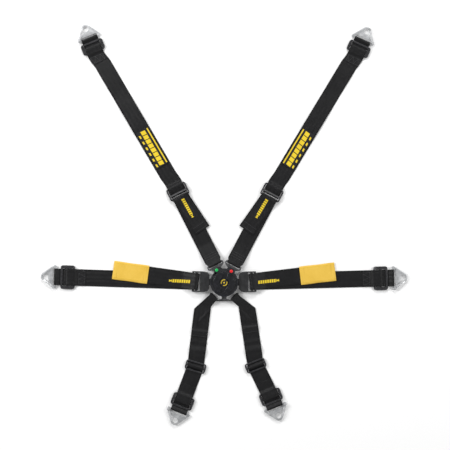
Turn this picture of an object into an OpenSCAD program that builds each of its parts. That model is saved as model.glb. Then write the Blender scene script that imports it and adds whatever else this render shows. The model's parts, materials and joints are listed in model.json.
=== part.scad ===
// Six-point racing harness laid out flat: a cam-lock buckle with five tongues, two shoulder
// straps, two lap straps and two crotch straps, each ending in a snap hook.
// The origin is on the buckle's axis at its back face. +Z is the front, +Y runs up between
// the shoulder straps. Every limb is modelled along its own +X and then placed.

/* [Webbing] */
// Width of the harness webbing
strap_w = 50; // [48:0.5:51]
// Thickness of one layer of webbing
web_t = 1.4; // [1.2:0.1:1.5]
// Width of the folded webbing where it loops on the crotch tongue
crotch_loop_w = 27; // [24:0.5:28]
// Width of the shoulder webbing inside its tongue
tongue_loop_w = 42; // [38:0.5:43]

/* [Buckle] */
// Outer radius of the buckle housing
housing_r = 42; // [42:0.5:44]
// Radius of the turn knob
knob_r = 34; // [30:0.5:34]
// Lift of the locking bolts
bolt_lift = 4; // [3.8:0.1:4]
// Turn of the knob between locked and released
knob_turn = 50; // [45:1:50]
// Radius of each locking bolt
bolt_r = 3.5; // [3:0.1:3.6]
// Width of the shoulder and crotch tongues inside the buckle
nose_w = 16; // [15:0.5:16.5]
// Width of the lap tongues inside the buckle
lap_nose_w = 20; // [18:0.5:21]

/* [Shoulder straps] */
// Distance from the buckle axis to the shoulder adjusters
adjuster_u = 300; // [260:1:340]
// Distance from a shoulder adjuster to its anchor slide
upper_len = 508; // [300:1:700]
// Length of the shoulder pull tails
tail_len = 119; // [100:1:150]
// Width of the shoulder adjusters
adjuster_w = 63; // [62:0.5:68]

/* [Lap straps] */
// Distance from the buckle axis to the lap anchor slides
lap_slide_u = 469; // [380:1:600]
// Length of the lap pull tails
lap_tail_len = 250; // [180:1:280]
// Width of the lap adjusters
lap_frame_w = 62; // [62:0.5:68]
// Length of the yellow pull tabs
tab_len = 106; // [80:1:110]
// Width of the yellow pull tabs
tab_w = 55; // [54:0.5:58]

/* [Hooks] */
// Radius of the hook eye
eye_r = 8; // [7.5:0.25:8.5]
// Thickness of the hook plate
hook_t = 3; // [2.5:0.1:3]
// Width of the hook plate at its slot
hook_w = 71; // [68:0.5:74]
// Distance from the slot bar to the eye centre
eye_u = 30; // [29:0.5:34]

/* [Hidden] */

LEFT = 0;
RIGHT = 1;
fine = 64;

// Heights, from the surface the harness lies on
layer_gap = 0.15;
pitch = web_t + layer_gap;
z1 = web_t / 2;
z2 = z1 + pitch;
plate_t = 2.5;
tongue_z = 8;
tongue_t = 2.5;
tongue_mid = tongue_z + tongue_t / 2;
play = 0.3;
chamber_z = tongue_z + tongue_t + 0.4;
roof_z = 20.5;
case_z = 23;
lock_z = 15.2;
lock_t = 2.5;
loop_clear = 0.3;

// Slot bars of hooks and adjusters, and the webbing that turns round them
bar_w = 5;
bar_half = norm([bar_w, hook_t]) / 2;
loop_r = bar_half + loop_clear + web_t / 2;
hook_mid = z1 + loop_r;
tongue_bar_w = 5.5;
tongue_loop_r = norm([tongue_bar_w, tongue_t]) / 2 + loop_clear + web_t / 2;

// Three-bar slides
slide_z = z2 + web_t / 2 + 0.35;
slide_t = 3;
over_z = slide_z + slide_t + 0.3 + web_t / 2;

// Directions, in degrees from +X, left side first
shoulder_a = [117, 62];
upper_a = [120.4, 58.9];
shoulder_hook_a = [112, 65];
tail_turn = [6.5, -7];
lap_a = [178.1, 1.5];
lap_tail_turn = [-6, 5.4];
crotch_a = 270;
shoulder_slide = [5, 9.5, 69];
lap_slide = [6, 12.5, 71];
crotch_slide = [4, 9, 63];
crotch_anchor = [5, 11.5, 67];
shoulder_hook_u = 27;
lap_hook_u = 36.6;
crotch_hook_u = 31;

// Crotch straps: the wing bars on the tongue and the places along each strap
wing = [31, -43.2];
wing_tilt = 46;
wing_half = 16.5;
knee = [[-64.8, -78.3], [69, -76.8]];
crotch_slide_p = [[-85.5, -252.6], [94.5, -249.3]];
crotch_slide_a = [253.4, 291.6];
crotch_anchor_p = [[-124.5, -356.7], [140.4, -343.2]];
crotch_anchor_a = [248.6, 292];

// Buckle details
bolt_u = 27;
nose_u = 19;
screw_angles = [89.5, 147.5, 224, 316, 32];
screw_u = 34.6;
spring_angles = [45, 135, 225, 315];
spring_u = 21;
port_angles = [shoulder_a[LEFT], shoulder_a[RIGHT], lap_a[LEFT], lap_a[RIGHT], crotch_a];
port_w = [nose_w, nose_w, lap_nose_w, lap_nose_w, nose_w];
free_ports = [0, 1, 2, 4];
spindle_r = 5;
run_fit = 0.05;
cam_pin_z = 12.9;
cam_pin_r = 1.5;
cam_steps = 5;

// Shoulder tongue and adjuster
tongue_bar_u = 62;
tongue_frame_w = 52;
lower_bar_u = -12;
top_bar_u = 22;
knurl_u = 1;
knurl_r = 2.8;
knurl_z = 5.4;
trunnion_r = 1.4;
cheek_t = 4;

// Lap tongue frame
lap_bar_u = 83;
lap_bar_r = 3.5;
lap_loop_r = lap_bar_r + loop_clear + web_t / 2;
lap_tail_z = tongue_mid + lap_loop_r + web_t + loop_clear;
lap_end_u = 96;
block_u = 72.5;

// Snap hook
slot_len = 53;
slot_w = 6.5;
ring_r = 14;
throat_w = 9;
throat_a = 115;
stud_r = 2;
gate_w = 6.4;
gate_t = 1.6;
gate_len = 35;
gate_lift = 0.2;
gate_pivot = [5.4, 31.1];
gate_a = -35.7;

// ---------- outlines ----------

function unit(v) = v / norm(v);
function side_of(a, b) = let (d = unit(b - a)) [-d[1], d[0]];
function turned(v, a) = [v[0] * cos(a) - v[1] * sin(a), v[0] * sin(a) + v[1] * cos(a)];
function reversed(p) = [for (i = [len(p) - 1:-1:0]) p[i]];

// The mitred side direction of a path at one of its points
function mitre(p, i) =
    i == 0 ? side_of(p[0], p[1])
    : i == len(p) - 1 ? side_of(p[i - 1], p[i])
    : let (a = side_of(p[i - 1], p[i]), m = unit(a + side_of(p[i], p[i + 1]))) m / (m * a);

// A path moved sideways by d
function shifted(p, d) = [for (i = [0:len(p) - 1]) p[i] + d * mitre(p, i)];

// The outline of a layer of thickness t along a path
function ribbon(p, t) = concat(shifted(p, t / 2), reversed(shifted(p, -t / 2)));

function arc(c, r, from, to, steps = 12) =
    [for (k = [0:steps]) let (a = from + (to - from) * k / steps) c + r * [cos(a), sin(a)]];

// A rectangle with rounded corners, centred on the origin
function round_rect(w, h, r) = concat(
    arc([w / 2 - r, h / 2 - r], r, 0, 90, 4), arc([r - w / 2, h / 2 - r], r, 90, 180, 4),
    arc([r - w / 2, r - h / 2], r, 180, 270, 4), arc([w / 2 - r, r - h / 2], r, 270, 360, 4));

module at(p, a) {
    translate([p[0], p[1], 0]) rotate([0, 0, a]) children();
}

module slab(z, t) {
    translate([0, 0, z]) linear_extrude(t) children();
}

// Webbing w wide whose side view is the path, in X and Z
module web(path, w = strap_w) {
    rotate([90, 0, 0]) translate([0, 0, -w / 2]) linear_extrude(w) polygon(ribbon(path, web_t));
}

// Flat webbing on the surface, from x = from to x = to
module flat_web(from, to) {
    translate([from, -strap_w / 2, 0]) cube([to - from, strap_w, web_t]);
}

// ---------- buckle ----------

module screw_places() {
    for (a = screw_angles) rotate([0, 0, a]) translate([screw_u, 0, 0]) children();
}

module ports(from, to) {
    for (i = [0:4])
        rotate([0, 0, port_angles[i]])
            translate([from, -port_w[i] / 2 - play, tongue_z - play])
                cube([to - from, port_w[i] + 2 * play, tongue_t + 1]);
}

module back_plate() {
    color("#2b2b2d") difference() {
        cylinder(r = housing_r, h = plate_t, $fn = fine);
        screw_places() translate([0, 0, -1]) cylinder(r = 1.8, h = 5, $fn = 24);
        screw_places() translate([0, 0, -1]) cylinder(r = 3.2, h = 2.5, $fn = 24);
    }
}

module guide_body() {
    floor_z = tongue_z - play;
    color("#3a3a3c") difference() {
        translate([0, 0, plate_t])
            cylinder(r = housing_r - 4, h = chamber_z - plate_t, $fn = fine);
        translate([0, 0, plate_t - 1]) cylinder(r = spindle_r + run_fit, h = 9, $fn = 48);
        translate([0, 0, floor_z - 0.3]) cylinder(r = 13, h = 5, $fn = 48);
        ports(nose_u - 1, housing_r);
        for (i = free_ports)
            rotate([0, 0, port_angles[i]]) translate([bolt_u, 0, floor_z - 1.3])
                cylinder(r = bolt_r + 0.6, h = 3, $fn = 32);
        rotate([0, 0, lap_a[RIGHT]]) translate([bolt_u, 0, floor_z - 3])
            cylinder(r = bolt_r + run_fit, h = 5, $fn = 32);
        screw_places() cylinder(r = 1.8, h = 20, $fn = 24);
    }
}

module housing() {
    hood_r = 49.5;
    color("#1d1e20") difference() {
        union() {
            translate([0, 0, plate_t])
                cylinder(r = housing_r, h = case_z - plate_t, $fn = fine);
            for (s = [LEFT, RIGHT]) rotate([0, 0, shoulder_a[s]])
                slab(chamber_z + 1, case_z - chamber_z - 1)
                    polygon([[30, -13], [46, -11], [hood_r, -7], [hood_r, 7], [46, 11], [30, 13]]);
        }
        translate([0, 0, plate_t - 1])
            cylinder(r = housing_r - 3.95, h = chamber_z - plate_t + 1, $fn = fine);
        translate([0, 0, chamber_z - 1]) cylinder(r = 31, h = roof_z - chamber_z + 1, $fn = fine);
        translate([0, 0, roof_z - 1]) cylinder(r = spindle_r + run_fit, h = 6, $fn = 48);
        translate([0, 0, roof_z + 0.7]) cylinder(r = 13.5, h = 4, $fn = 48);
        ports(housing_r - 7, 60);
        screw_places() translate([0, 0, 5]) cylinder(r = 1.8, h = 12, $fn = 24);
    }
}

module spindle() {
    color("#9a9c9f") union() {
        translate([0, 0, plate_t + 0.1])
            cylinder(r = spindle_r, h = case_z + 0.4 - plate_t - 0.1, $fn = 48);
        translate([-10, 0, cam_pin_z]) rotate([0, 90, 0]) cylinder(r = cam_pin_r, h = 20, $fn = 24);
    }
}

// Two raised levers, half a turn apart, with an S-shaped valley between them
module knob_lever() {
    lever_r = knob_r - 2;
    polygon(concat(arc([0, 0], lever_r, 100, 248, 16), arc([0, 0], 14, 240, 150, 8),
        [[-7, 16], [-2, 24]]));
}

module turn_knob() {
    base_z = case_z + 0.4;
    color("#18191b") difference() {
        union() {
            translate([0, 0, base_z]) cylinder(r = knob_r, h = 2.4, $fn = fine);
            for (a = [0, 180]) rotate([0, 0, a]) slab(base_z + 2.4, 5) knob_lever();
            translate([0, 0, base_z + 2.4]) cylinder(r = 12.5, h = 2.4, $fn = 48);
        }
        translate([0, 0, base_z + 3.8]) cylinder(r = 11, h = 4, $fn = 48);
    }
}

module knob_badge() {
    color("#d8b021") translate([0, 0, case_z + 4.2]) cylinder(r = 10.9, h = 1, $fn = 48);
}

module lock_plate() {
    hub_z = 12.2;
    color("#8d8f92") difference() {
        union() {
            translate([0, 0, lock_z]) cylinder(r = 30, h = lock_t, $fn = fine);
            translate([0, 0, hub_z]) cylinder(r = 12, h = roof_z - 0.3 - hub_z, $fn = 48);
        }
        translate([0, 0, hub_z - 1]) cylinder(r = spindle_r + 0.6, h = 12, $fn = 48);
        // the cam: a stepped notch on each side, which the spindle's pin climbs as the knob turns
        for (k = [0:cam_steps - 1], side = [0, 180])
            rotate([0, 0, side]) slab(hub_z - 1, cam_pin_z + cam_pin_r + 0.4 - hub_z + 1
                + bolt_lift * (k + 1) / cam_steps)
                polygon(concat(arc([0, 0], 11, k - knob_turn - 22, 20 - knob_turn * k / cam_steps, 8),
                    arc([0, 0], 4, 20 - knob_turn * k / cam_steps, k - knob_turn - 22, 8)));
    }
}

module locking_bolts() {
    tip_z = chamber_z + 0.3;
    color("#b4b6b9") for (i = free_ports)
        rotate([0, 0, port_angles[i]]) translate([bolt_u, 0, tip_z])
            cylinder(r = bolt_r, h = lock_z - tip_z, $fn = 32);
}

module bolt_springs() {
    low = lock_z + lock_t + 0.05;
    color("#a9abad") for (a = spring_angles)
        rotate([0, 0, a]) translate([spring_u, 0, low]) difference() {
            cylinder(r = 3.2, h = roof_z - 0.05 - low, $fn = 32);
            translate([0, 0, -1]) cylinder(r = 2.2, h = 9, $fn = 32);
        }
}

// A flat spiral spring of rectangular strip under the knob
module knob_return_spring() {
    turns = 2.5;
    steps = 60;
    inner = 6.2;
    outer = 12.6;
    path = [for (k = [0:steps]) let (a = 360 * turns * k / steps)
        (inner + (outer - inner) * k / steps) * [cos(a), sin(a)]];
    color("#a9abad") slab(roof_z + 0.9, 1.4) polygon(ribbon(path, 0.8));
}

module case_screws() {
    color("#77797c") screw_places() union() {
        translate([0, 0, 1]) cylinder(r = 1.7, h = 15, $fn = 24);
        translate([0, 0, 0.3]) cylinder(r = 3.1, h = 1.1, $fn = 24);
    }
}

module fixed_tongue_pin() {
    color("#77797c") rotate([0, 0, lap_a[RIGHT]]) translate([bolt_u, 0, tongue_z - 2.5])
        cylinder(r = bolt_r, h = tongue_t + 2.7, $fn = 32);
}

module marker(p, r) {
    translate([p[0], p[1], case_z]) cylinder(r = r, h = 1, $fn = 32);
}

module marker_green() {
    color("#2fc36b") marker(turned([43.4, 0], 121), 5);
}

module marker_red() {
    color("#e2373f") marker(turned([39.8, 0], 57.5), 5);
}

// ---------- tongues ----------

module nose(w) {
    polygon([[nose_u, 3 - w / 2], [nose_u + 3, -w / 2], [44, -w / 2],
        [44, w / 2], [nose_u + 3, w / 2], [nose_u, w / 2 - 3]]);
}

module bolt_hole() {
    translate([bolt_u, 0, tongue_z - 1]) cylinder(r = bolt_r + 0.5, h = 5, $fn = 32);
}

module shoulder_tongue() {
    out_u = tongue_bar_u + tongue_bar_w / 2;
    half = tongue_frame_w / 2;
    slot = tongue_loop_w + 1.5;
    color("#8a8c90") difference() {
        slab(tongue_z, tongue_t) union() {
            nose(nose_w);
            polygon([[43, -nose_w / 2], [51, -half + 3], [54, -half], [out_u - 3, -half],
                [out_u, -half + 3], [out_u, half - 3], [out_u - 3, half], [54, half],
                [51, half - 3], [43, nose_w / 2]]);
        }
        translate([tongue_bar_u - tongue_bar_w / 2 - 4.5, -slot / 2, tongue_z - 1])
            cube([4.5, slot, 5]);
        bolt_hole();
    }
}

// A lap tongue with its adjuster frame in one piece
module lap_tongue(pin_fit) {
    half = lap_frame_w / 2;
    cheek = 4;
    color("#202123") difference() {
        union() {
            slab(tongue_z, tongue_t) nose(lap_nose_w);
            slab(6.5, 6.5) polygon([[44, -20], [50, -half + 3], [60, -half], [block_u, -half],
                [block_u, half], [60, half], [50, half - 3], [44, 20]]);
            for (s = [-1, 1]) translate([60, s * (half - cheek / 2) - cheek / 2, 5])
                cube([lap_end_u - 60, cheek, 8.5]);
            translate([lap_end_u - 6, 1 - half, 7.5]) cube([6, 2 * half - 2, 3]);
        }
        translate([bolt_u, 0, tongue_z - 1]) cylinder(r = bolt_r + pin_fit, h = 5, $fn = 32);
        for (s = [-1, 1]) translate([lap_bar_u, s * (half - cheek), tongue_mid])
            rotate([90, 0, 0]) translate([0, 0, -2.2]) cylinder(r = 2.05, h = 4.4, $fn = 32);
    }
}

module lap_bar() {
    inner = lap_frame_w / 2 - 4;
    color("#5d6064") translate([lap_bar_u, 0, tongue_mid]) rotate([90, 0, 0]) union() {
        translate([0, 0, 0.3 - inner]) cylinder(r = lap_bar_r, h = 2 * inner - 0.6, $fn = 48);
        translate([0, 0, -inner - 2]) cylinder(r = 2, h = 2 * inner + 4, $fn = 32);
    }
}

// The anchor-shaped tongue that carries both crotch straps
module crotch_tongue() {
    foot = -56;
    color("#26272a") difference() {
        slab(tongue_z, tongue_t) union() {
            rotate([0, 0, crotch_a]) nose(nose_w);
            polygon([[-9, -43], [-6.5, -46], [-9, -49.5], [-19.5, -52.5], [-20.5, foot],
                [20.5, foot], [19.5, -52.5], [9, -49.5], [6.5, -46], [9, -43]]);
            for (s = [-1, 1]) at([s * wing[0], wing[1]], s * wing_tilt)
                polygon(round_rect(2 * wing_half, tongue_bar_w, 2.5));
        }
        rotate([0, 0, crotch_a]) bolt_hole();
    }
}

// ---------- straps ----------

// Webbing through a slide at x = 0, round a hook bar at x = hook_u and back through the slide
module anchor_end(slide, hook_u) {
    flat_half = slide[0] / 2 + 0.3;
    run = over_z - z1;
    end_u = slide[0] * 1.5 + slide[1] + 1.5;
    inner_u = slide[0] + slide[1] + flat_half;
    under = [[-55, z1], [-flat_half - run, z1], [-flat_half, over_z], [flat_half, over_z],
        [flat_half + run, z1], [end_u, z1]];
    // the free end comes back over the middle bar and the inner bar
    back = [for (i = [5:-1:3]) shifted(under, pitch)[i]];
    web(concat(under, arc([hook_u, hook_mid], loop_r, -90, 115, 14), back,
        [[-flat_half, over_z + pitch], [-inner_u + 3, over_z], [-inner_u, over_z],
        [-inner_u - run, z2], [-inner_u - run - 26, z2]]));
}

module slide_frame(slide) {
    len = 3 * slide[0] + 2 * slide[1];
    slot = strap_w + 3;
    color("#1c1d1f") slab(slide_z, slide_t) difference() {
        polygon(round_rect(len, slide[2], 7));
        for (s = [-1, 1]) translate([s * (slide[0] + slide[1]) / 2, 0])
            polygon(round_rect(slide[1], slot, 1.5));
    }
}

// The top layer runs from the tongue's bar to the adjuster's lower bar, and both ends fold under
module lower_strap() {
    far = adjuster_u + lower_bar_u;
    near = tongue_bar_u;
    fold = 66;
    path = concat([[near + fold, z1], [near + 14, tongue_mid - pitch / 2]],
        arc([near, tongue_mid], tongue_loop_r, 290, 70, 14),
        [[near + 14, tongue_mid + pitch / 2], [near + fold, z2], [far - 12, z2]],
        arc([far, hook_mid], loop_r, 115, -90, 14), [[far - fold, z1]]);
    half = strap_w / 2;
    loop_half = tongue_loop_w / 2;
    color("#141416") intersection() {
        web(path);
        slab(-1, 30) polygon([[near - 8, -loop_half], [near + 4, -loop_half], [near + 11, -half],
            [far + 9, -half], [far + 9, half], [near + 11, half], [near + 4, loop_half],
            [near - 8, loop_half]]);
    }
}

module shoulder_tail() {
    crest = hook_mid + loop_r + web_t + loop_clear;
    low = z2 + web_t + loop_clear;
    color("#141416")
        web([[-tail_len, low], [-26, low], [-6, crest], [1.5, crest]]);
}

module adjuster_frame() {
    low = hook_mid - hook_t / 2;
    in_half = adjuster_w / 2 - cheek_t;
    start = lower_bar_u - bar_w / 2;
    end = top_bar_u + bar_w / 2;
    color("#1c1d1f") difference() {
        union() {
            slab(low, hook_t) difference() {
                translate([(start + end) / 2, 0])
                    polygon(round_rect(end - start, adjuster_w, 6));
                translate([(start + end) / 2, 0]) square([end - start - 2 * bar_w, 2 * in_half], center = true);
            }
            for (s = [-1, 1]) slab(low, 6.4) translate([0, s * (in_half + cheek_t / 2)])
                square([16, cheek_t], center = true);
        }
        for (s = [-1, 1]) translate([knurl_u, s * in_half, knurl_z + 1])
            rotate([90, 0, 0]) translate([0, 0, -2.2])
                cylinder(r = trunnion_r + run_fit, h = 4.4, $fn = 32);
    }
}

module adjuster_bar() {
    in_half = adjuster_w / 2 - cheek_t;
    color("#55585c") translate([knurl_u, 0, knurl_z + 1]) rotate([90, 0, 0]) union() {
        translate([0, 0, 0.3 - in_half]) cylinder(r = knurl_r, h = 2 * in_half - 0.6, $fn = 48);
        translate([0, 0, -in_half - 2]) cylinder(r = trunnion_r, h = 2 * in_half + 4, $fn = 32);
    }
}

// In the adjuster's own frame: over the top bar and down under the knurled bar
module upper_strap(side) {
    top = hook_mid + hook_t / 2 + 0.3 + web_t / 2;
    color("#141416") union() {
        web([[-4.2, 3.2], [-2.5, 2.2], [8, 2.2], [18.3, top], [25.8, top], [33, z1], [60, z1]]);
        rotate([0, 0, upper_a[side] - shoulder_a[side]]) flat_web(36, upper_len - 40);
        rotate([0, 0, upper_a[side] - shoulder_a[side]]) translate([upper_len, 0, 0])
            rotate([0, 0, shoulder_hook_a[side] - upper_a[side]])
                anchor_end(shoulder_slide, shoulder_hook_u);
    }
}

// In the limb's frame: round the adjuster bar, along the surface, and into the anchor
module lap_strap() {
    color("#141416") union() {
        web(concat(arc([lap_bar_u, tongue_mid], lap_loop_r, 100, 262, 14),
            [[lap_bar_u + 35, z1], [lap_slide_u - 40, z1]]));
        translate([lap_slide_u, 0, 0]) anchor_end(lap_slide, lap_hook_u);
    }
}

// In a frame at the lap adjuster bar
module lap_tail() {
    low = web_t + loop_clear + 0.4 + web_t / 2;
    color("#141416") web([[-3, lap_tail_z], [5, lap_tail_z], [14, lap_tail_z - 3.3],
        [42, low], [lap_tail_len, low]]);
}

module pull_tab() {
    low = web_t + loop_clear + 0.4 + web_t + layer_gap;
    color("#f3b322") translate([lap_tail_len - tab_len + 2, -tab_w / 2, low])
        cube([tab_len, tab_w, 1.2]);
}

// In the object's frame: round the wing bar, out to the knee, then down to the hook
module crotch_strap(side) {
    s = side == LEFT ? -1 : 1;
    start = [s * wing[0], wing[1]];
    k = knee[side];
    p = crotch_slide_p[side];
    q = crotch_anchor_p[side];
    reach = norm(k - start);
    main = norm(p - k) - 20;
    flat_half = crotch_slide[0] / 2 + 0.3;
    run = over_z - z1;
    wing_a = -90 + s * wing_tilt;
    main_a = atan2(p[1] - k[1], p[0] - k[0]);
    end_a = atan2(q[1] - p[1], q[0] - p[0]);
    loop_half = crotch_loop_w / 2;
    half = strap_w / 2;
    color("#141416") union() {
        at(start, wing_a) web(concat(
            [[reach, z1], [reach - 12, z1], [14, tongue_mid - pitch / 2]],
            arc([0, tongue_mid], tongue_loop_r, 290, 70, 14),
            [[14, tongue_mid + pitch / 2], [reach - 12, z2], [reach - 4, z2]]), crotch_loop_w);
        slab(0, web_t) polygon([
            start + turned([reach - 11, 1 - loop_half], wing_a), k + turned([4, -half], main_a),
            k + turned([main, -half], main_a), k + turned([main, half], main_a),
            k + turned([4, half], main_a), start + turned([reach - 11, loop_half - 1], wing_a)]);
        at(p, crotch_slide_a[side]) web([[-30, z1], [-flat_half - run, z1], [-flat_half, over_z],
            [flat_half, over_z], [flat_half + run, z1], [30, z1]]);
        at(p, end_a) flat_web(22, norm(q - p) - 40);
        at(q, crotch_anchor_a[side]) anchor_end(crotch_anchor, crotch_hook_u);
    }
}

// ---------- hooks ----------

// Along +X from the slot bar; s is the side of the throat, 1 for +Y
module hook(s) {
    low = hook_mid - hook_t / 2;
    half = hook_w / 2;
    top = hook_mid + hook_t / 2;
    head_z = top + gate_lift + gate_t + gate_lift;
    color("#c9ccd0") mirror([0, s < 0 ? 1 : 0, 0]) union() {
        difference() {
            slab(low, hook_t) union() {
                polygon(concat(arc([2, half - 4.5], 4.5, 45, 180, 5),
                    arc([2, 4.5 - half], 4.5, 180, 315, 5),
                    arc([eye_u, 0], ring_r, -54.3, 54.3, 12)));
            }
            translate([eye_u, 0, low - 1]) cylinder(r = eye_r, h = hook_t + 2, $fn = fine);
            translate([bar_w / 2, -slot_len / 2, low - 1]) cube([slot_w, slot_len, hook_t + 2]);
            translate([eye_u, 0, low - 1]) rotate([0, 0, throat_a])
                translate([0, -throat_w / 2, 0]) cube([40, throat_w, hook_t + 2]);
        }
        translate([gate_pivot[0], gate_pivot[1], top - 1])
            cylinder(r = stud_r, h = head_z - top + 1.2, $fn = 32);
        translate([gate_pivot[0], gate_pivot[1], head_z]) cylinder(r = 3.4, h = 1.2, $fn = 32);
    }
}

module gate(s) {
    color("#dfe1e3") mirror([0, s < 0 ? 1 : 0, 0])
        translate([gate_pivot[0], gate_pivot[1], hook_mid + hook_t / 2 + gate_lift])
            rotate([0, 0, gate_a]) difference() {
                slab(0, gate_t) polygon(concat(arc([0, 0], gate_w / 2 + 0.6, 100, 260, 8),
                    [[6, -gate_w / 2], [gate_len, -gate_w / 2], [gate_len + 2, 0],
                    [gate_len, gate_w / 2], [6, gate_w / 2]]));
                translate([0, 0, -1]) cylinder(r = stud_r + 0.08, h = 4, $fn = 32);
            }
}

// ---------- places ----------

module at_adjuster(side) {
    at(turned([adjuster_u, 0], shoulder_a[side]), shoulder_a[side]) children();
}

module at_shoulder_slide(side) {
    at_adjuster(side) rotate([0, 0, upper_a[side] - shoulder_a[side]])
        translate([upper_len, 0, 0]) rotate([0, 0, shoulder_hook_a[side] - upper_a[side]])
            children();
}

module at_lap_slide(side) {
    rotate([0, 0, lap_a[side]]) translate([lap_slide_u, 0, 0]) children();
}

module at_lap_bar(side) {
    rotate([0, 0, lap_a[side]]) translate([lap_bar_u, 0, 0])
        rotate([0, 0, lap_tail_turn[side]]) children();
}

module at_crotch_slide(side) {
    at(crotch_slide_p[side], crotch_slide_a[side]) children();
}

module at_crotch_anchor(side) {
    at(crotch_anchor_p[side], crotch_anchor_a[side]) children();
}

module at_shoulder_hook(side) {
    at_shoulder_slide(side) translate([shoulder_hook_u, 0, 0]) children();
}

module at_lap_hook(side) {
    at_lap_slide(side) translate([lap_hook_u, 0, 0]) children();
}

module at_crotch_hook(side) {
    at_crotch_anchor(side) translate([crotch_hook_u, 0, 0]) children();
}

module tail_place(side) {
    at_adjuster(side) translate([lower_bar_u, 0, 0]) rotate([0, 0, tail_turn[side]]) children();
}

back_plate();
guide_body();
housing();
turn_knob();
knob_badge();
spindle();
lock_plate();
locking_bolts();
bolt_springs();
knob_return_spring();
case_screws();
fixed_tongue_pin();
marker_green();
marker_red();
crotch_tongue();
rotate([0, 0, shoulder_a[LEFT]]) shoulder_tongue();  // shoulder_tongue_left
rotate([0, 0, shoulder_a[RIGHT]]) shoulder_tongue();  // shoulder_tongue_right
rotate([0, 0, lap_a[LEFT]]) lap_tongue(0.5);  // lap_tongue_left
rotate([0, 0, lap_a[RIGHT]]) lap_tongue(run_fit);  // lap_tongue_right
rotate([0, 0, lap_a[LEFT]]) lap_bar();  // lap_bar_left
rotate([0, 0, lap_a[RIGHT]]) lap_bar();  // lap_bar_right
rotate([0, 0, shoulder_a[LEFT]]) lower_strap();  // lower_strap_left
rotate([0, 0, shoulder_a[RIGHT]]) lower_strap();  // lower_strap_right
tail_place(LEFT) shoulder_tail();  // shoulder_tail_left
tail_place(RIGHT) shoulder_tail();  // shoulder_tail_right
at_adjuster(LEFT) adjuster_frame();  // adjuster_frame_left
at_adjuster(RIGHT) adjuster_frame();  // adjuster_frame_right
at_adjuster(LEFT) adjuster_bar();  // adjuster_bar_left
at_adjuster(RIGHT) adjuster_bar();  // adjuster_bar_right
at_adjuster(LEFT) upper_strap(LEFT);  // upper_strap_left
at_adjuster(RIGHT) upper_strap(RIGHT);  // upper_strap_right
rotate([0, 0, lap_a[LEFT]]) lap_strap();  // lap_strap_left
rotate([0, 0, lap_a[RIGHT]]) lap_strap();  // lap_strap_right
at_lap_bar(LEFT) lap_tail();  // lap_tail_left
at_lap_bar(RIGHT) lap_tail();  // lap_tail_right
at_lap_bar(LEFT) pull_tab();  // pull_tab_left
at_lap_bar(RIGHT) pull_tab();  // pull_tab_right
crotch_strap(LEFT);  // crotch_strap_left
crotch_strap(RIGHT);  // crotch_strap_right
at_crotch_slide(LEFT) slide_frame(crotch_slide);  // crotch_slide_left
at_crotch_slide(RIGHT) slide_frame(crotch_slide);  // crotch_slide_right
at_shoulder_slide(LEFT) slide_frame(shoulder_slide);  // shoulder_slide_left
at_shoulder_slide(RIGHT) slide_frame(shoulder_slide);  // shoulder_slide_right
at_lap_slide(LEFT) slide_frame(lap_slide);  // lap_slide_left
at_lap_slide(RIGHT) slide_frame(lap_slide);  // lap_slide_right
at_crotch_anchor(LEFT) slide_frame(crotch_anchor);  // crotch_anchor_slide_left
at_crotch_anchor(RIGHT) slide_frame(crotch_anchor);  // crotch_anchor_slide_right
at_shoulder_hook(LEFT) hook(1);  // shoulder_hook_left
at_shoulder_hook(RIGHT) hook(-1);  // shoulder_hook_right
at_lap_hook(LEFT) hook(1);  // lap_hook_left
at_lap_hook(RIGHT) hook(-1);  // lap_hook_right
at_crotch_hook(LEFT) hook(-1);  // crotch_hook_left
at_crotch_hook(RIGHT) hook(1);  // crotch_hook_right
at_shoulder_hook(LEFT) gate(1);  // shoulder_gate_left
at_shoulder_hook(RIGHT) gate(-1);  // shoulder_gate_right
at_lap_hook(LEFT) gate(1);  // lap_gate_left
at_lap_hook(RIGHT) gate(-1);  // lap_gate_right
at_crotch_hook(LEFT) gate(-1);  // crotch_gate_left
at_crotch_hook(RIGHT) gate(1);  // crotch_gate_right
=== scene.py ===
# Six-point racing harness laid out flat: a cam-lock buckle, five tongues, two shoulder, two lap
# and two crotch straps, with slides, adjusters and snap hooks. Metres, +Z the front, +Y up
# between the shoulder straps, the origin on the buckle's axis at its back face.
import json
import math

import bpy
from mathutils import Matrix, Vector


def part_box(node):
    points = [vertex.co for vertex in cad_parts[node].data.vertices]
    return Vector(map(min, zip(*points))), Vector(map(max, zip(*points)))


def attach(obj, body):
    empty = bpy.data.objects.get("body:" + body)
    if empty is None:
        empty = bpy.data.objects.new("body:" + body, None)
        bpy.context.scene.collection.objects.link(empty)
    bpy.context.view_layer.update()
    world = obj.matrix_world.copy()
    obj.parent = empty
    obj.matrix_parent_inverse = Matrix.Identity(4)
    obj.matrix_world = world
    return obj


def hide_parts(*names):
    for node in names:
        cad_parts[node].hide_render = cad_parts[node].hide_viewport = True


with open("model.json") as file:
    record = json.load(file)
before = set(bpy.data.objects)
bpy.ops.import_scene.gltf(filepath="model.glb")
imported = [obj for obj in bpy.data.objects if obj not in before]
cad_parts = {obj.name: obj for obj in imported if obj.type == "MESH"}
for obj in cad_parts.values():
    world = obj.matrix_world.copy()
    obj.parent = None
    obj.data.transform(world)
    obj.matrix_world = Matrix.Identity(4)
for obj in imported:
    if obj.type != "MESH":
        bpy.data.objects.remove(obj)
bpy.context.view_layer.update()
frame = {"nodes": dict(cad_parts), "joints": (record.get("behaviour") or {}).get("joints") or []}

bpy.ops.object.select_all(action="DESELECT")
SIDES = ("left", "right")

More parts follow.
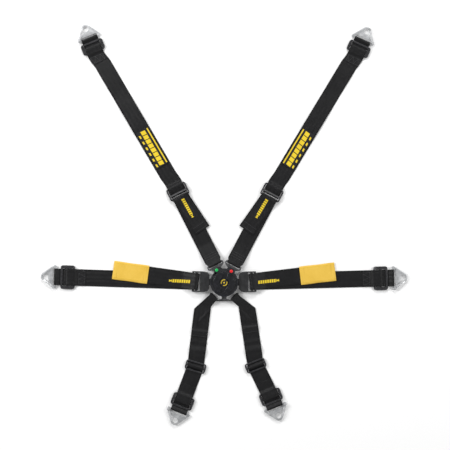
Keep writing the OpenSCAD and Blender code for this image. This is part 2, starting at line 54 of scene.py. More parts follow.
# ---------- studio ----------
# A plain near-white table under the harness, with a soft light on each of its four sides and
# a camera that looks straight down.
bpy.ops.mesh.primitive_plane_add(size=12, location=(0, 0, -0.0004))
table = bpy.context.object
table.name = "table"
table_paint = bpy.data.materials.new("table_paint")
table_paint.use_nodes = True
paint = table_paint.node_tree.nodes["Principled BSDF"]
paint.inputs["Base Color"].default_value = (0.97, 0.97, 0.97, 1)
paint.inputs["Roughness"].default_value = 0.9
table.data.materials.append(table_paint)

view_centre = Vector((0.0027, 0.172, 0))
view_height = 5.0
view_width = 1.35
bpy.ops.object.camera_add(location=view_centre + Vector((0, 0, view_height)))
camera = bpy.context.object
camera.data.lens = camera.data.sensor_width * view_height / view_width
camera.data.clip_end = 30
bpy.context.scene.camera = camera


def soft_light(name, place, size, power):
    bpy.ops.object.light_add(type="AREA", location=place)
    light = bpy.context.object
    light.name = name
    light.data.shape = "RECTANGLE"
    light.data.size, light.data.size_y = size
    light.data.energy = power
    light.rotation_euler = (view_centre - Vector(place)).to_track_quat("-Z", "Y").to_euler()


soft_light("left_light", (-2.5, 1.1, 1.9), (1.0, 1.8), 72)
soft_light("right_light", (2.6, 0.5, 1.9), (1.0, 1.8), 34)
soft_light("back_light", (0.2, 3.0, 2.0), (2.2, 0.9), 58)
soft_light("front_light", (0.0, -2.5, 1.9), (2.2, 0.9), 14)
world = bpy.data.worlds.new("studio")
world.use_nodes = True
world.node_tree.nodes["Background"].inputs["Color"].default_value = (1, 1, 1, 1)
world.node_tree.nodes["Background"].inputs["Strength"].default_value = 0.3
bpy.context.scene.world = world
bpy.context.scene.view_settings.view_transform = "Standard"

# ---------- snap hooks ----------
# Each hook is stamped from 3 mm steel plate, its edges tumbled round, and zinc plated. The
# strap turns round the bar behind its slot, and a stud for the gate is staked into it.


def finish(name, colour, rough, metallic=0.0):
    """A new material and its shader, with its even values set on the shader itself."""
    made = bpy.data.materials.new(name)
    made.use_nodes = True
    shader = made.node_tree.nodes["Principled BSDF"]
    shader.inputs["Base Color"].default_value = (*colour, 1)
    shader.inputs["Roughness"].default_value = rough
    shader.inputs["Metallic"].default_value = metallic
    return made, shader


def node(made, kind, **values):
    new = made.node_tree.nodes.new(kind)
    for key, value in values.items():
        setattr(new, key, value)
    return new


def join_up(made, source, target):
    made.node_tree.links.new(source, target)


def place_noise(made, scale, stretch=(1, 1, 1), detail=4.0):
    """Noise laid on the object's own coordinates."""
    where = node(made, "ShaderNodeTexCoord")
    spread = node(made, "ShaderNodeMapping")
    spread.inputs["Scale"].default_value = stretch
    noise = node(made, "ShaderNodeTexNoise")
    noise.inputs["Scale"].default_value = scale
    noise.inputs["Detail"].default_value = detail
    join_up(made, where.outputs["Object"], spread.inputs["Vector"])
    join_up(made, spread.outputs["Vector"], noise.inputs["Vector"])
    return noise


def mottle(made, shader, source, dark, light, low=0.35, high=0.65):
    """Colour that wanders between two shades."""
    ramp = node(made, "ShaderNodeValToRGB")
    ramp.color_ramp.elements[0].position = low
    ramp.color_ramp.elements[1].position = high
    ramp.color_ramp.elements[0].color = (*dark, 1)
    ramp.color_ramp.elements[1].color = (*light, 1)
    join_up(made, source, ramp.inputs["Fac"])
    join_up(made, ramp.outputs["Color"], shader.inputs["Base Color"])
    return ramp


def vary_rough(made, shader, source, low, high):
    span = node(made, "ShaderNodeMapRange")
    span.inputs["To Min"].default_value = low
    span.inputs["To Max"].default_value = high
    join_up(made, source, span.inputs["Value"])
    join_up(made, span.outputs["Result"], shader.inputs["Roughness"])


def bump(made, shader, source, depth, strength=1.0):
    relief = node(made, "ShaderNodeBump")
    relief.inputs["Distance"].default_value = depth
    relief.inputs["Strength"].default_value = strength
    join_up(made, source, relief.inputs["Height"])
    join_up(made, relief.outputs["Normal"], shader.inputs["Normal"])


def edge_wear_and_highlight(made, shader, plain, worn_and_lit, low=0.52, high=0.6):
    """Convex edges painted lighter, broken up by noise: partly paint or plating rubbed thin, partly a painted
    highlight along the edges.
    """
    shape = node(made, "ShaderNodeNewGeometry")
    ramp = node(made, "ShaderNodeValToRGB")
    ramp.color_ramp.elements[0].position = low
    ramp.color_ramp.elements[1].position = high
    wear_highlight_mask = node(made, "ShaderNodeMath", operation="MULTIPLY")
    blend = node(made, "ShaderNodeMixRGB")
    blend.inputs["Color2"].default_value = (*worn_and_lit, 1)
    patches = place_noise(made, 260, detail=3)
    join_up(made, shape.outputs["Pointiness"], ramp.inputs["Fac"])
    join_up(made, ramp.outputs["Color"], wear_highlight_mask.inputs[0])
    join_up(made, patches.outputs["Fac"], wear_highlight_mask.inputs[1])
    join_up(made, wear_highlight_mask.outputs["Value"], blend.inputs["Fac"])
    join_up(made, plain, blend.inputs["Color1"])
    join_up(made, blend.outputs["Color"], shader.inputs["Base Color"])


def worked_finish(name, colour, rough, metallic, cloud, shades, worn_and_lit=None, gloss=None, grain=None, coat=None):
    """A finish whose colour and gloss wander with a cloud of noise of a scale and detail.
    The edge colour paints its edges lighter, partly as wear and partly as a painted highlight, grain is a fine
    relief, and coat is a clear coat over it."""
    made, shader = finish(name, colour, rough, metallic)
    if coat:
        shader.inputs["Coat Weight"].default_value, shader.inputs["Coat Roughness"].default_value = coat
    scale, detail = cloud
    patches = place_noise(made, scale, detail=detail).outputs["Fac"]
    tone = mottle(made, shader, patches, *shades)
    # lighter edges: partly wear, partly a painted highlight
    if worn_and_lit:
        edge_wear_and_highlight(made, shader, tone.outputs["Color"], worn_and_lit)
    if gloss:
        vary_rough(made, shader, patches, *gloss)
    if grain:
        fine, depth, strength = grain
        bump(made, shader, place_noise(made, fine, detail=2).outputs["Fac"], depth, strength)
    return made


zinc = worked_finish("zinc_plate", (0.52, 0.53, 0.54), 0.42, 0.7, (90, 6),
    ((0.42, 0.43, 0.44), (0.62, 0.63, 0.64)), worn_and_lit=(0.78, 0.78, 0.79), gloss=(0.34, 0.54),
    grain=(1500, 0.00006, 0.5))


def rounded_copy(source, name, edge, steps, made, body, blend_angle=35):
    """A CAD piece copied, merged and given rounded edges; it stands in for that node."""
    piece = bpy.data.objects.new(name, frame["nodes"][source].data.copy())
    bpy.context.scene.collection.objects.link(piece)
    piece.data.materials.clear()
    piece.data.materials.append(made)
    bpy.ops.object.select_all(action="DESELECT")
    bpy.context.view_layer.objects.active = piece
    piece.select_set(True)
    bpy.ops.object.mode_set(mode="EDIT")
    bpy.ops.mesh.select_all(action="SELECT")
    bpy.ops.mesh.remove_doubles(threshold=1e-6)
    bpy.ops.mesh.dissolve_limited(angle_limit=math.radians(0.5))
    bpy.ops.object.mode_set(mode="OBJECT")
    if edge:
        bpy.ops.object.modifier_add(type="BEVEL")
        bevel = piece.modifiers[-1]
        bevel.width = edge
        bevel.segments = steps
        bevel.limit_method = "ANGLE"
        bevel.angle_limit = math.radians(blend_angle)
        bevel.use_clamp_overlap = True
        bpy.ops.object.modifier_apply(modifier=bevel.name)
    bpy.ops.object.shade_smooth_by_angle(angle=math.radians(blend_angle))
    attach(piece, body)
    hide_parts(source)


for limb in ("shoulder", "lap", "crotch"):
    for side in SIDES:
        hook = f"{limb}_hook_{side}"
        rounded_copy(hook, f"{hook}_plate", 0.0006, 3, zinc, hook)

# ---------- hook gates ----------
# A flat steel gate swings on the stud and closes the hook's throat. Ribs are pressed into it
# for the thumb, and a fine wire spring wound round the stud's head holds it shut.
gate_metal = worked_finish("gate_plate", (0.62, 0.63, 0.64), 0.36, 0.75, (120, 5),
    ((0.54, 0.55, 0.56), (0.72, 0.73, 0.74)), worn_and_lit=(0.78, 0.78, 0.79), gloss=(0.3, 0.46))
spring_wire = worked_finish("spring_wire", (0.5, 0.5, 0.52), 0.3, 1.0, (300, 4),
    ((0.38, 0.38, 0.4), (0.6, 0.6, 0.62)))

gate_width = 0.0064
gate_slope = -35.7
gate_top = 0.0079
rib_pitch = 0.0024
rib_from = 0.0075
rib_count = 10
hinge = {j["child"]: j for j in frame["joints"]}


def turn_about_z(degrees):
    return Matrix.Rotation(math.radians(degrees), 4, "Z")


def settle(piece, where, made, body):
    """Puts a finished piece in its place, in its mesh, and lets it ride on its body."""
    bpy.ops.object.select_all(action="DESELECT")
    piece.data.transform(where @ piece.matrix_world)
    piece.matrix_world = Matrix.Identity(4)
    if where.to_3x3().determinant() < 0:
        piece.data.flip_normals()
    if made:
        piece.data.materials.clear()
        piece.data.materials.append(made)
    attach(piece, body)


def gather(parts, name):
    """Joins parts into one piece."""
    bpy.ops.object.select_all(action="DESELECT")
    for part in parts:
        part.select_set(True)
    bpy.context.view_layer.objects.active = parts[0]
    bpy.ops.object.join()
    whole = bpy.context.object
    bpy.ops.object.transform_apply(location=True, rotation=True, scale=True)
    whole.name = name
    return whole


def gate_direction(side_axis, limb_angle):
    return limb_angle + (gate_slope if side_axis < 0 else -gate_slope)


for limb in ("shoulder", "lap", "crotch"):
    for side in SIDES:
        gate = f"{limb}_gate_{side}"
        rounded_copy(gate, f"{gate}_plate", 0.0004, 2, gate_metal, gate)
        pivot = Vector(hinge[gate]["pos_m"])
        lift_axis = hinge[f"{limb}_hook_{side}"]["axis"]
        limb_angle = math.degrees(math.atan2(lift_axis[0], -lift_axis[1]))
        spin = hinge[gate]["axis"][2]
        along = turn_about_z(gate_direction(spin, limb_angle))
        ribs = []
        for k in range(rib_count):
            bpy.ops.mesh.primitive_cylinder_add(vertices=10, radius=0.00065, depth=gate_width - 0.0018,
                location=(rib_from + k * rib_pitch, 0, 0), rotation=(math.pi / 2, 0, 0))
            rib = bpy.context.object
            bpy.ops.object.modifier_add(type="BEVEL")
            rib.modifiers[-1].width = 0.0004
            rib.modifiers[-1].segments = 2
            rib.modifiers[-1].angle_limit = math.radians(50)
            bpy.ops.object.modifier_apply(modifier=rib.modifiers[-1].name)
            ribs.append(rib)
        rib_set = gather(ribs, f"{gate}_ribs")
        bpy.ops.object.shade_smooth_by_angle(angle=math.radians(50))
        settle(rib_set, Matrix.Translation((pivot.x, pivot.y, gate_top - 0.0002)) @ along,
            gate_metal, gate)
        # the spring: a turn and a half round the head, one leg along the gate
        coil = []
        for k in range(37):
            a = -math.pi / 2 + 3 * math.pi * k / 36
            coil.append((0.0042 * math.cos(a), 0.0042 * math.sin(a), gate_top + 0.00035 + 0.0009 * k / 36))
        coil.append((-0.012, 0.0036, gate_top + 0.0011))
        bpy.ops.curve.primitive_bezier_curve_add()
        wire = bpy.context.object
        wire.data.splines.clear()
        line = wire.data.splines.new("POLY")
        line.points.add(len(coil))
        for point, co in zip(line.points, [(0.0205, -0.0042, gate_top + 0.00035)] + coil):
            point.co = (*co, 1)
        wire.data.bevel_depth = 0.0003
        wire.data.bevel_resolution = 2
        wire.data.use_fill_caps = True
        bpy.ops.object.convert(target="MESH")
        wire = bpy.context.object
        wire.name = f"{gate}_spring"
        mirror = Matrix.Scale(-1, 4, (0, 1, 0)) if spin > 0 else Matrix.Identity(4)
        settle(wire, Matrix.Translation((pivot.x, pivot.y, 0)) @ along @ mirror, spring_wire,
            gate)
        bpy.ops.object.select_all(action="DESELECT")

# ---------- slides and adjuster frames ----------
# Three-bar slides and the shoulder adjusters are pressed steel, dipped in black e-coat that shines
# a little; their edges are painted lighter, partly as coat rubbed thin and partly as a painted highlight.
black_coat = worked_finish("black_coat", (0.02, 0.02, 0.022), 0.3, 0, (140, 5),
    ((0.014, 0.014, 0.016), (0.03, 0.03, 0.033)), worn_and_lit=(0.16, 0.16, 0.17), gloss=(0.2, 0.42),
    grain=(2200, 0.00005, 0.5), coat=(0.35, 0.15))

slide_bodies = {
    "shoulder_slide": "shoulder_upper", "lap_slide": "lap_strap",
    "crotch_slide": "crotch_strap", "crotch_anchor_slide": "crotch_strap",
    "adjuster_frame": "shoulder_upper",
}
for source, body in slide_bodies.items():
    for side in SIDES:
        rounded_copy(f"{source}_{side}", f"{source}_{side}_body", 0.0009, 4, black_coat,
            f"{body}_{side}")

# ---------- knurled bars ----------
# A turned steel bar sits across each adjuster between its cheeks and grips the webbing with
# rows of knurled teeth. It is black oxide finished.
knurled = worked_finish("knurled_bar", (0.04, 0.04, 0.043), 0.36, 0.4, (200, 4),
    ((0.025, 0.025, 0.027), (0.05, 0.05, 0.053)), worn_and_lit=(0.16, 0.16, 0.165))


def knurled_bar(source, name, body, radius, length, centre, angle):
    """A fluted roller with plain journals, lying across its adjuster."""
    bpy.ops.mesh.primitive_cylinder_add(vertices=48, radius=radius, depth=length, rotation=(math.pi / 2, 0, 0))
    bar = bpy.context.object
    bpy.ops.object.transform_apply(rotation=True)
    bpy.ops.object.mode_set(mode="EDIT")
    bpy.ops.mesh.select_all(action="SELECT")
    bpy.ops.mesh.bisect(plane_co=(0, length / 2 - 0.003, 0), plane_no=(0, 1, 0))
    bpy.ops.mesh.select_all(action="SELECT")
    bpy.ops.mesh.bisect(plane_co=(0, 0.003 - length / 2, 0), plane_no=(0, 1, 0))
    bpy.ops.object.mode_set(mode="OBJECT")
    for v in bar.data.vertices:
        tooth = round(math.degrees(math.atan2(v.co.z, v.co.x)) / 7.5) % 2
        if abs(v.co.y) < length / 2 - 0.0029 and tooth:
            v.co.x *= 0.9
            v.co.z *= 0.9
    bpy.ops.object.modifier_add(type="BEVEL")
    bar.modifiers[-1].width = 0.00025
    bar.modifiers[-1].segments = 2
    bar.modifiers[-1].angle_limit = math.radians(40)
    bpy.ops.object.modifier_apply(modifier=bar.modifiers[-1].name)
    bpy.ops.mesh.primitive_cylinder_add(vertices=24, radius=radius * 0.5, depth=length + 0.0044,
        rotation=(math.pi / 2, 0, 0))
    journal = bpy.context.object
    bar = gather([bar, journal], name)
    bpy.ops.object.shade_smooth_by_angle(angle=math.radians(30))
    settle(bar, Matrix.Translation(centre) @ turn_about_z(angle), knurled, body)
    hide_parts(source)


shoulder_angle = (117.0, 62.0)
lap_angle = (178.1, 1.5)


def middle(source):
    low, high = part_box(source)
    return (Vector(low) + Vector(high)) / 2


for i, side in enumerate(SIDES):
    knurled_bar(f"adjuster_bar_{side}", f"shoulder_roller_{side}", f"shoulder_upper_{side}", 0.0028,
        0.0544, middle(f"adjuster_bar_{side}"), shoulder_angle[i])
    knurled_bar(f"lap_bar_{side}", f"lap_roller_{side}", ("lap_tongue_left", "buckle")[i], 0.0035,
        0.0534, middle(f"lap_bar_{side}"), lap_angle[i])

# ---------- tongues ----------
# The shoulder tongues are steel plates with a dark zinc finish, and the lap tongues, cast in one with
# their adjuster frames, and the crotch tongue with its two wings are coated black.
dull_zinc = worked_finish("dull_zinc", (0.1, 0.102, 0.107), 0.4, 0.6, (110, 6),
    ((0.075, 0.077, 0.081), (0.13, 0.132, 0.137)), worn_and_lit=(0.42, 0.42, 0.43), gloss=(0.3, 0.5))
tongue_coat = worked_finish("tongue_coat", (0.014, 0.0145, 0.016), 0.38, 0, (120, 5),
    ((0.01, 0.01, 0.0112), (0.022, 0.0225, 0.024)), worn_and_lit=(0.12, 0.12, 0.125),
    grain=(1800, 0.00004, 0.4), coat=(0.25, 0.2))

for side in SIDES:
    rounded_copy(f"shoulder_tongue_{side}", f"shoulder_tongue_{side}_plate", 0.0006, 3, dull_zinc,
        f"shoulder_tongue_{side}")
rounded_copy("lap_tongue_left", "lap_tongue_left_frame", 0.0011, 4, tongue_coat,
    "lap_tongue_left")
rounded_copy("lap_tongue_right", "lap_tongue_right_frame", 0.0011, 4, tongue_coat, "buckle")
rounded_copy("crotch_tongue", "crotch_tongue_plate", 0.0007, 3, tongue_coat, "crotch_tongue")

# ---------- buckle case ----------
# The case is moulded in tough black nylon with a fine spark-eroded grain. A round cover with
# a hood over each shoulder port sits on a flat back plate, screwed together from behind.
nylon = worked_finish("case_nylon", (0.012, 0.0125, 0.015), 0.42, 0, (60, 4),
    ((0.01, 0.0105, 0.0125), (0.018, 0.0185, 0.022)), gloss=(0.34, 0.5), grain=(2600, 0.00004, 0.5))
rounded_copy("housing", "case_cover", 0.0012, 4, nylon, "buckle")
rounded_copy("back_plate", "case_back", 0.0006, 3, nylon, "buckle")

# ---------- bezel panels ----------
# Five shallow glossy panels are let into the top of the cover between the ports, each a strip
# of a ring with rounded ends.
gloss_black = worked_finish("panel_gloss", (0.01, 0.011, 0.014), 0.16, 0, (80, 4),
    ((0.008, 0.009, 0.012), (0.016, 0.017, 0.022)), gloss=(0.1, 0.24))
case_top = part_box("housing")[1][2]
panel_inner, panel_outer = 0.0358, 0.0405
panel_arcs = ((76, 104), (140, 166), (192, 256), (284, 346), (14, 46))


def ring_strip(inner, outer, low, high, start, end):
    """A strip of a flat ring, spun from a small rectangle."""
    bpy.ops.mesh.primitive_plane_add(size=1, rotation=(math.pi / 2, 0, 0),
        location=((inner + outer) / 2, 0, (low + high) / 2))
    strip = bpy.context.object
    strip.scale = (outer - inner, high - low, 1)
    bpy.ops.object.transform_apply(location=True, rotation=True, scale=True)
    strip.data.transform(turn_about_z(start))
    bpy.ops.object.mode_set(mode="EDIT")
    bpy.ops.mesh.select_all(action="SELECT")
    bpy.ops.mesh.spin(steps=max(6, round((end - start) / 3)), angle=math.radians(end - start),
        center=(0, 0, 0), axis=(0, 0, 1), dupli=False)
    bpy.ops.mesh.select_all(action="SELECT")
    bpy.ops.mesh.remove_doubles(threshold=1e-6)
    bpy.ops.object.mode_set(mode="OBJECT")
    bpy.ops.object.mode_set(mode="EDIT")
    bpy.ops.mesh.select_all(action="DESELECT")
    bpy.ops.mesh.select_mode(type="EDGE")
    bpy.ops.mesh.select_non_manifold()
    bpy.ops.mesh.edge_face_add()
    bpy.ops.mesh.select_mode(type="VERT")
    bpy.ops.mesh.select_all(action="SELECT")
    bpy.ops.mesh.normals_make_consistent(inside=False)
    bpy.ops.object.mode_set(mode="OBJECT")
    return strip


panels = []
for start, end in panel_arcs:
    strip = ring_strip(panel_inner, panel_outer, case_top - 0.0004, case_top + 0.00035, start, end)
    bpy.ops.object.modifier_add(type="BEVEL")
    strip.modifiers[-1].width = 0.0003
    strip.modifiers[-1].segments = 2
    bpy.ops.object.modifier_apply(modifier=strip.modifiers[-1].name)
    panels.append(strip)
panel_set = gather(panels, "bezel_panels")
bpy.ops.object.shade_smooth_by_angle(angle=math.radians(35))
settle(panel_set, Matrix.Identity(4), gloss_black, "buckle")

# ---------- knob ----------
# The turn knob is one moulding with two raised finger levers and an S-shaped valley between
# them. It is polished where thumbs press, and its rim is finely ribbed.
knob_plastic = worked_finish("knob_plastic", (0.018, 0.019, 0.022), 0.24, 0, (70, 4),
    ((0.006, 0.0065, 0.008), (0.014, 0.0145, 0.018)), gloss=(0.18, 0.34), grain=(2400, 0.00002, 0.25))
rounded_copy("turn_knob", "knob_body", 0.0014, 5, knob_plastic, "knob", 30)
knob_low, knob_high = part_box("turn_knob")
knob_radius = knob_high[0]
rim_ribs = []
rib_total = 60
rim_rib_sink = 0.0001
rim_rib_height = 0.0011
for k in range(rib_total):
    a = 2 * math.pi * k / rib_total
    out = knob_radius - rim_rib_sink
    bpy.ops.mesh.primitive_cylinder_add(vertices=8, radius=0.00055, depth=0.0016,
        location=(out * math.cos(a), out * math.sin(a), knob_low[2] + rim_rib_height))
    rim_ribs.append(bpy.context.object)
rim = gather(rim_ribs, "knob_rim_ribs")
bpy.ops.object.shade_smooth_by_angle(angle=math.radians(50))
settle(rim, Matrix.Identity(4), knob_plastic, "knob")

# ---------- knob badge ----------
# A round black insert in the middle of the knob shows how to turn it: two yellow arrows
# chase each other round a centre dot, printed and slightly raised.
badge_black = worked_finish("badge_black", (0.012, 0.012, 0.014), 0.3, 0, (400, 4),
    ((0.01, 0.01, 0.012), (0.02, 0.02, 0.023)))
rounded_copy("knob_badge", "badge_insert", 0.0003, 2, badge_black, "knob")
print_yellow = worked_finish("print_yellow", (0.75, 0.55, 0.02), 0.4, 0, (900, 4),
    ((0.66, 0.46, 0.02), (0.82, 0.62, 0.03)))
badge_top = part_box("knob_badge")[1][2]
mark_parts = []
for start in (20, 200):
    mark_parts.append(ring_strip(0.0076, 0.0095, badge_top - 0.0002, badge_top + 0.0003, start, start + 130))
    bpy.ops.mesh.primitive_cylinder_add(vertices=3, radius=0.0026, depth=0.0006, location=(0, 0, badge_top))
    head = bpy.context.object
    tip = math.radians(start + 136)
    head.rotation_euler = (0, 0, tip)
    head.location = (0.0084 * math.cos(tip), 0.0084 * math.sin(tip), badge_top)
    mark_parts.append(head)
bpy.ops.mesh.primitive_cylinder_add(vertices=24, radius=0.0022, depth=0.0004, location=(0, 0, badge_top))
mark_parts.append(bpy.context.object)
mark = gather(mark_parts, "badge_mark")
bpy.ops.object.shade_smooth_by_angle(angle=math.radians(35))
settle(mark, Matrix.Identity(4), print_yellow, "knob")

# ---------- marker studs ----------
# A green and a red stud on the hoods tell left from right. They are coloured acetal, pressed
# into the cover, with a low dome.
stud_shades = (("green", (0.004, 0.3, 0.06), (0.008, 0.42, 0.09)),
    ("red", (0.55, 0.008, 0.012), (0.78, 0.015, 0.02)))
for colour, dark, light in stud_shades:
    acetal = worked_finish(f"acetal_{colour}", light, 0.28, 0, (500, 4), (dark, light, 0.2, 0.5))
    low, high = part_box(f"marker_{colour}")
    radius = (high[0] - low[0]) / 2
    bpy.ops.mesh.primitive_uv_sphere_add(segments=32, ring_count=12, radius=radius)
    stud = bpy.context.object
    stud.name = f"stud_{colour}"
    bpy.ops.object.mode_set(mode="EDIT")
    bpy.ops.mesh.select_all(action="SELECT")
    bpy.ops.mesh.bisect(plane_co=(0, 0, 0), plane_no=(0, 0, 1), clear_inner=True, use_fill=True)
    bpy.ops.object.mode_set(mode="OBJECT")
    for v in stud.data.vertices:
        v.co.z *= 0.26
    bpy.ops.object.shade_smooth_by_angle(angle=math.radians(45))
    spot = Matrix.Translation(((low[0] + high[0]) / 2, (low[1] + high[1]) / 2, low[2]))
    settle(stud, spot, acetal, "buckle")
    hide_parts(f"marker_{colour}")

# ---------- works inside the buckle ----------
# The turned spindle, lock plate, bolts, pin, screws and springs are bright steel, and the
# guide body that steers the tongues is a dark anodised casting.
bright, bright_shader = finish("bright_steel", (0.55, 0.56, 0.58), 0.28, 1.0)
bright_cloud = place_noise(bright, 500, (1, 1, 8))
mottle(bright, bright_shader, bright_cloud.outputs["Fac"], (0.45, 0.46, 0.48), (0.66, 0.67, 0.69))
vary_rough(bright, bright_shader, bright_cloud.outputs["Fac"], 0.2, 0.4)
cast_dark, cast_shader = finish("cast_dark", (0.12, 0.12, 0.13), 0.5, 0.7)
cast_cloud = place_noise(cast_dark, 700)
mottle(cast_dark, cast_shader, cast_cloud.outputs["Fac"], (0.09, 0.09, 0.1), (0.16, 0.16, 0.17))
bump(cast_dark, cast_shader, cast_cloud.outputs["Fac"], 0.0001, 0.6)
rounded_copy("guide_body", "guide_casting", 0.0003, 2, cast_dark, "buckle")
for source, body in (("spindle", "knob"), ("lock_plate", "lock"), ("locking_bolts", "lock"),
        ("knob_return_spring", "buckle"), ("case_screws", "buckle"), ("fixed_tongue_pin", "buckle")):
    edge = 0.0002 if source != "lock_plate" else 0
    rounded_copy(source, f"{source}_turned", edge, 2, bright, body)

# Each bolt spring is a short coil of round wire between the lock plate and the roof.
spring_low, spring_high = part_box("bolt_springs")
spring_ring = 0.021
coil_turns = 3
coil_steps = 48
springs = []
for a in (45, 135, 225, 315):
    bpy.ops.curve.primitive_bezier_curve_add()
    coil = bpy.context.object
    coil.data.splines.clear()
    line = coil.data.splines.new("POLY")
    line.points.add(coil_steps)
    for k, point in enumerate(line.points):
        turn = 2 * math.pi * coil_turns * k / coil_steps
        rise = spring_low[2] + 0.0003 + (spring_high[2] - spring_low[2] - 0.0006) * k / coil_steps
        point.co = (spring_ring * math.cos(math.radians(a)) + 0.0027 * math.cos(turn),
            spring_ring * math.sin(math.radians(a)) + 0.0027 * math.sin(turn), rise, 1)
    coil.data.bevel_depth = 0.0003
    coil.data.bevel_resolution = 1
    coil.data.use_fill_caps = True
    bpy.ops.object.convert(target="MESH")
    springs.append(bpy.context.object)
coils = gather(springs, "bolt_coils")
settle(coils, Matrix.Identity(4), bright, "buckle")
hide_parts("bolt_springs")

# ---------- webbing ----------
# The straps are 50 mm polyester webbing, woven in a fine herringbone with plain selvedges and
# dyed black. Each is cut to length, turned round its bar and sewn back on itself.
web_thick = 0.0014
layer_pitch = 0.00155
floor_layer = web_thick / 2
top_layer = floor_layer + layer_pitch
web_half = 0.025
bar_half = math.hypot(0.005, 0.003) / 2
loop_radius = bar_half + 0.0003 + web_thick / 2
bar_height = floor_layer + loop_radius
tongue_height = 0.00925
tongue_loop = math.hypot(0.0055, 0.0025) / 2 + 0.0003 + web_thick / 2
over_bar = top_layer + web_thick / 2 + 0.00035 + 0.003 + 0.0003 + web_thick / 2


def woven(name, dark, light, sheen, rough, panel=0.0062, depth=0.00016, selvedge=0.0218):
    """Herringbone cloth read from a UV map in metres: U along the strap, V across it, with a
    groove where the selvedge starts."""
    made, shader = finish(name, light, rough)
    shader.inputs["Sheen Weight"].default_value = sheen
    shader.inputs["Sheen Roughness"].default_value = 0.4
    shader.inputs["Specular IOR Level"].default_value = 0.24
    where = node(made, "ShaderNodeUVMap")
    where.uv_map = "weave"
    split = node(made, "ShaderNodeSeparateXYZ")
    join_up(made, where.outputs["UV"], split.inputs["Vector"])
    shift = node(made, "ShaderNodeMath", operation="ADD")
    shift.inputs[1].default_value = 10 * panel
    fold = node(made, "ShaderNodeMath", operation="PINGPONG")
    fold.inputs[1].default_value = panel
    join_up(made, split.outputs["Y"], shift.inputs[0])
    join_up(made, shift.outputs["Value"], fold.inputs[0])
    twill = node(made, "ShaderNodeMath", operation="ADD")
    join_up(made, split.outputs["X"], twill.inputs[0])
    join_up(made, fold.outputs["Value"], twill.inputs[1])
    pace = node(made, "ShaderNodeMath", operation="MULTIPLY")
    pace.inputs[1].default_value = 2 * math.pi / 0.0013
    join_up(made, twill.outputs["Value"], pace.inputs[0])
    wave = node(made, "ShaderNodeMath", operation="SINE")
    join_up(made, pace.outputs["Value"], wave.inputs[0])
    ribs = node(made, "ShaderNodeMath", operation="MULTIPLY")
    ribs.inputs[1].default_value = 2 * math.pi / 0.00062
    join_up(made, split.outputs["Y"], ribs.inputs[0])
    rib_wave = node(made, "ShaderNodeMath", operation="SINE")
    join_up(made, ribs.outputs["Value"], rib_wave.inputs[0])
    threads = node(made, "ShaderNodeMath", operation="MULTIPLY_ADD")
    threads.inputs[1].default_value = 0.35
    join_up(made, rib_wave.outputs["Value"], threads.inputs[0])
    join_up(made, wave.outputs["Value"], threads.inputs[2])
    span = node(made, "ShaderNodeMapRange")
    span.inputs["From Min"].default_value = -1.35
    span.inputs["From Max"].default_value = 1.35
    join_up(made, threads.outputs["Value"], span.inputs["Value"])
    edge = node(made, "ShaderNodeMath", operation="ABSOLUTE")
    join_up(made, split.outputs["Y"], edge.inputs[0])
    groove = node(made, "ShaderNodeMath", operation="COMPARE")
    groove.inputs[1].default_value = selvedge
    groove.inputs[2].default_value = 0.0006
    join_up(made, edge.outputs["Value"], groove.inputs[0])
    weft = node(made, "ShaderNodeMath", operation="SUBTRACT", use_clamp=True)
    join_up(made, span.outputs["Result"], weft.inputs[0])
    join_up(made, groove.outputs["Value"], weft.inputs[1])
    cloud = place_noise(made, 38, detail=5)
    tone = node(made, "ShaderNodeMath", operation="MULTIPLY_ADD")
    tone.inputs[1].default_value = 0.55
    join_up(made, weft.outputs["Value"], tone.inputs[0])
    soft = node(made, "ShaderNodeMath", operation="MULTIPLY")
    soft.inputs[1].default_value = 0.5
    join_up(made, cloud.outputs["Fac"], soft.inputs[0])
    join_up(made, soft.outputs["Value"], tone.inputs[2])
    mottle(made, shader, tone.outputs["Value"], dark, light, 0.15, 0.85)
    bump(made, shader, weft.outputs["Value"], depth, 0.8)
    vary_rough(made, shader, cloud.outputs["Fac"], rough - 0.08, rough + 0.08)
    return made


black_web = woven("black_webbing", (0.003, 0.003, 0.0033), (0.011, 0.011, 0.012), 0.02, 0.4)


def bend(centre, radius, start, end, steps=16):
    """Points round a bar, in the strap's side view."""
    return [(centre[0] + radius * math.cos(math.radians(start + (end - start) * k / steps)),
        centre[1] + radius * math.sin(math.radians(start + (end - start) * k / steps)))
        for k in range(steps + 1)]


def softened(route, reach):
    """The route with each of its corners eased over up to reach on both sides."""
    made = [Vector(route[0])]
    for a, b, c in zip(route, route[1:], route[2:]):
        a, b, c = Vector(a), Vector(b), Vector(c)
        back, on = a - b, c - b
        ease = min(reach, back.length * 0.45, on.length * 0.45)
        if back.angle(on) > math.radians(178):
            made.append(b)
            continue
        p, q = b + back.normalized() * ease, b + on.normalized() * ease
        made += [p.lerp(b, t).lerp(b.lerp(q, t), t) for t in (0, 0.25, 0.5, 0.75, 1)]
    return made + [Vector(route[-1])]


def stations(route, step):
    """Even steps along the long straights of the route."""
    made = [route[0]]
    for a, b in zip(route, route[1:]):
        parts = max(1, math.ceil((b - a).length / step))
        made += [a.lerp(b, k / parts) for k in range(1, parts + 1)]
    return [p for k, p in enumerate(made) if k == 0 or (p - made[k - 1]).length > 1e-6]


def moved_side(route, distance):
    """The route moved to its left by a distance, mitred at its corners."""
    made = []
    for k, here in enumerate(route):
        here = Vector(here)
        sides = []
        if k:
            d = (here - Vector(route[k - 1])).normalized()
            sides.append(Vector((-d.y, d.x)))
        if k < len(route) - 1:
            d = (Vector(route[k + 1]) - here).normalized()
            sides.append(Vector((-d.y, d.x)))
        m = sum(sides, Vector((0, 0))).normalized()
        made.append(here + m * distance / m.dot(sides[0]))
    return [tuple(p) for p in made]


station_pace = 0.0035
threads_across = 20


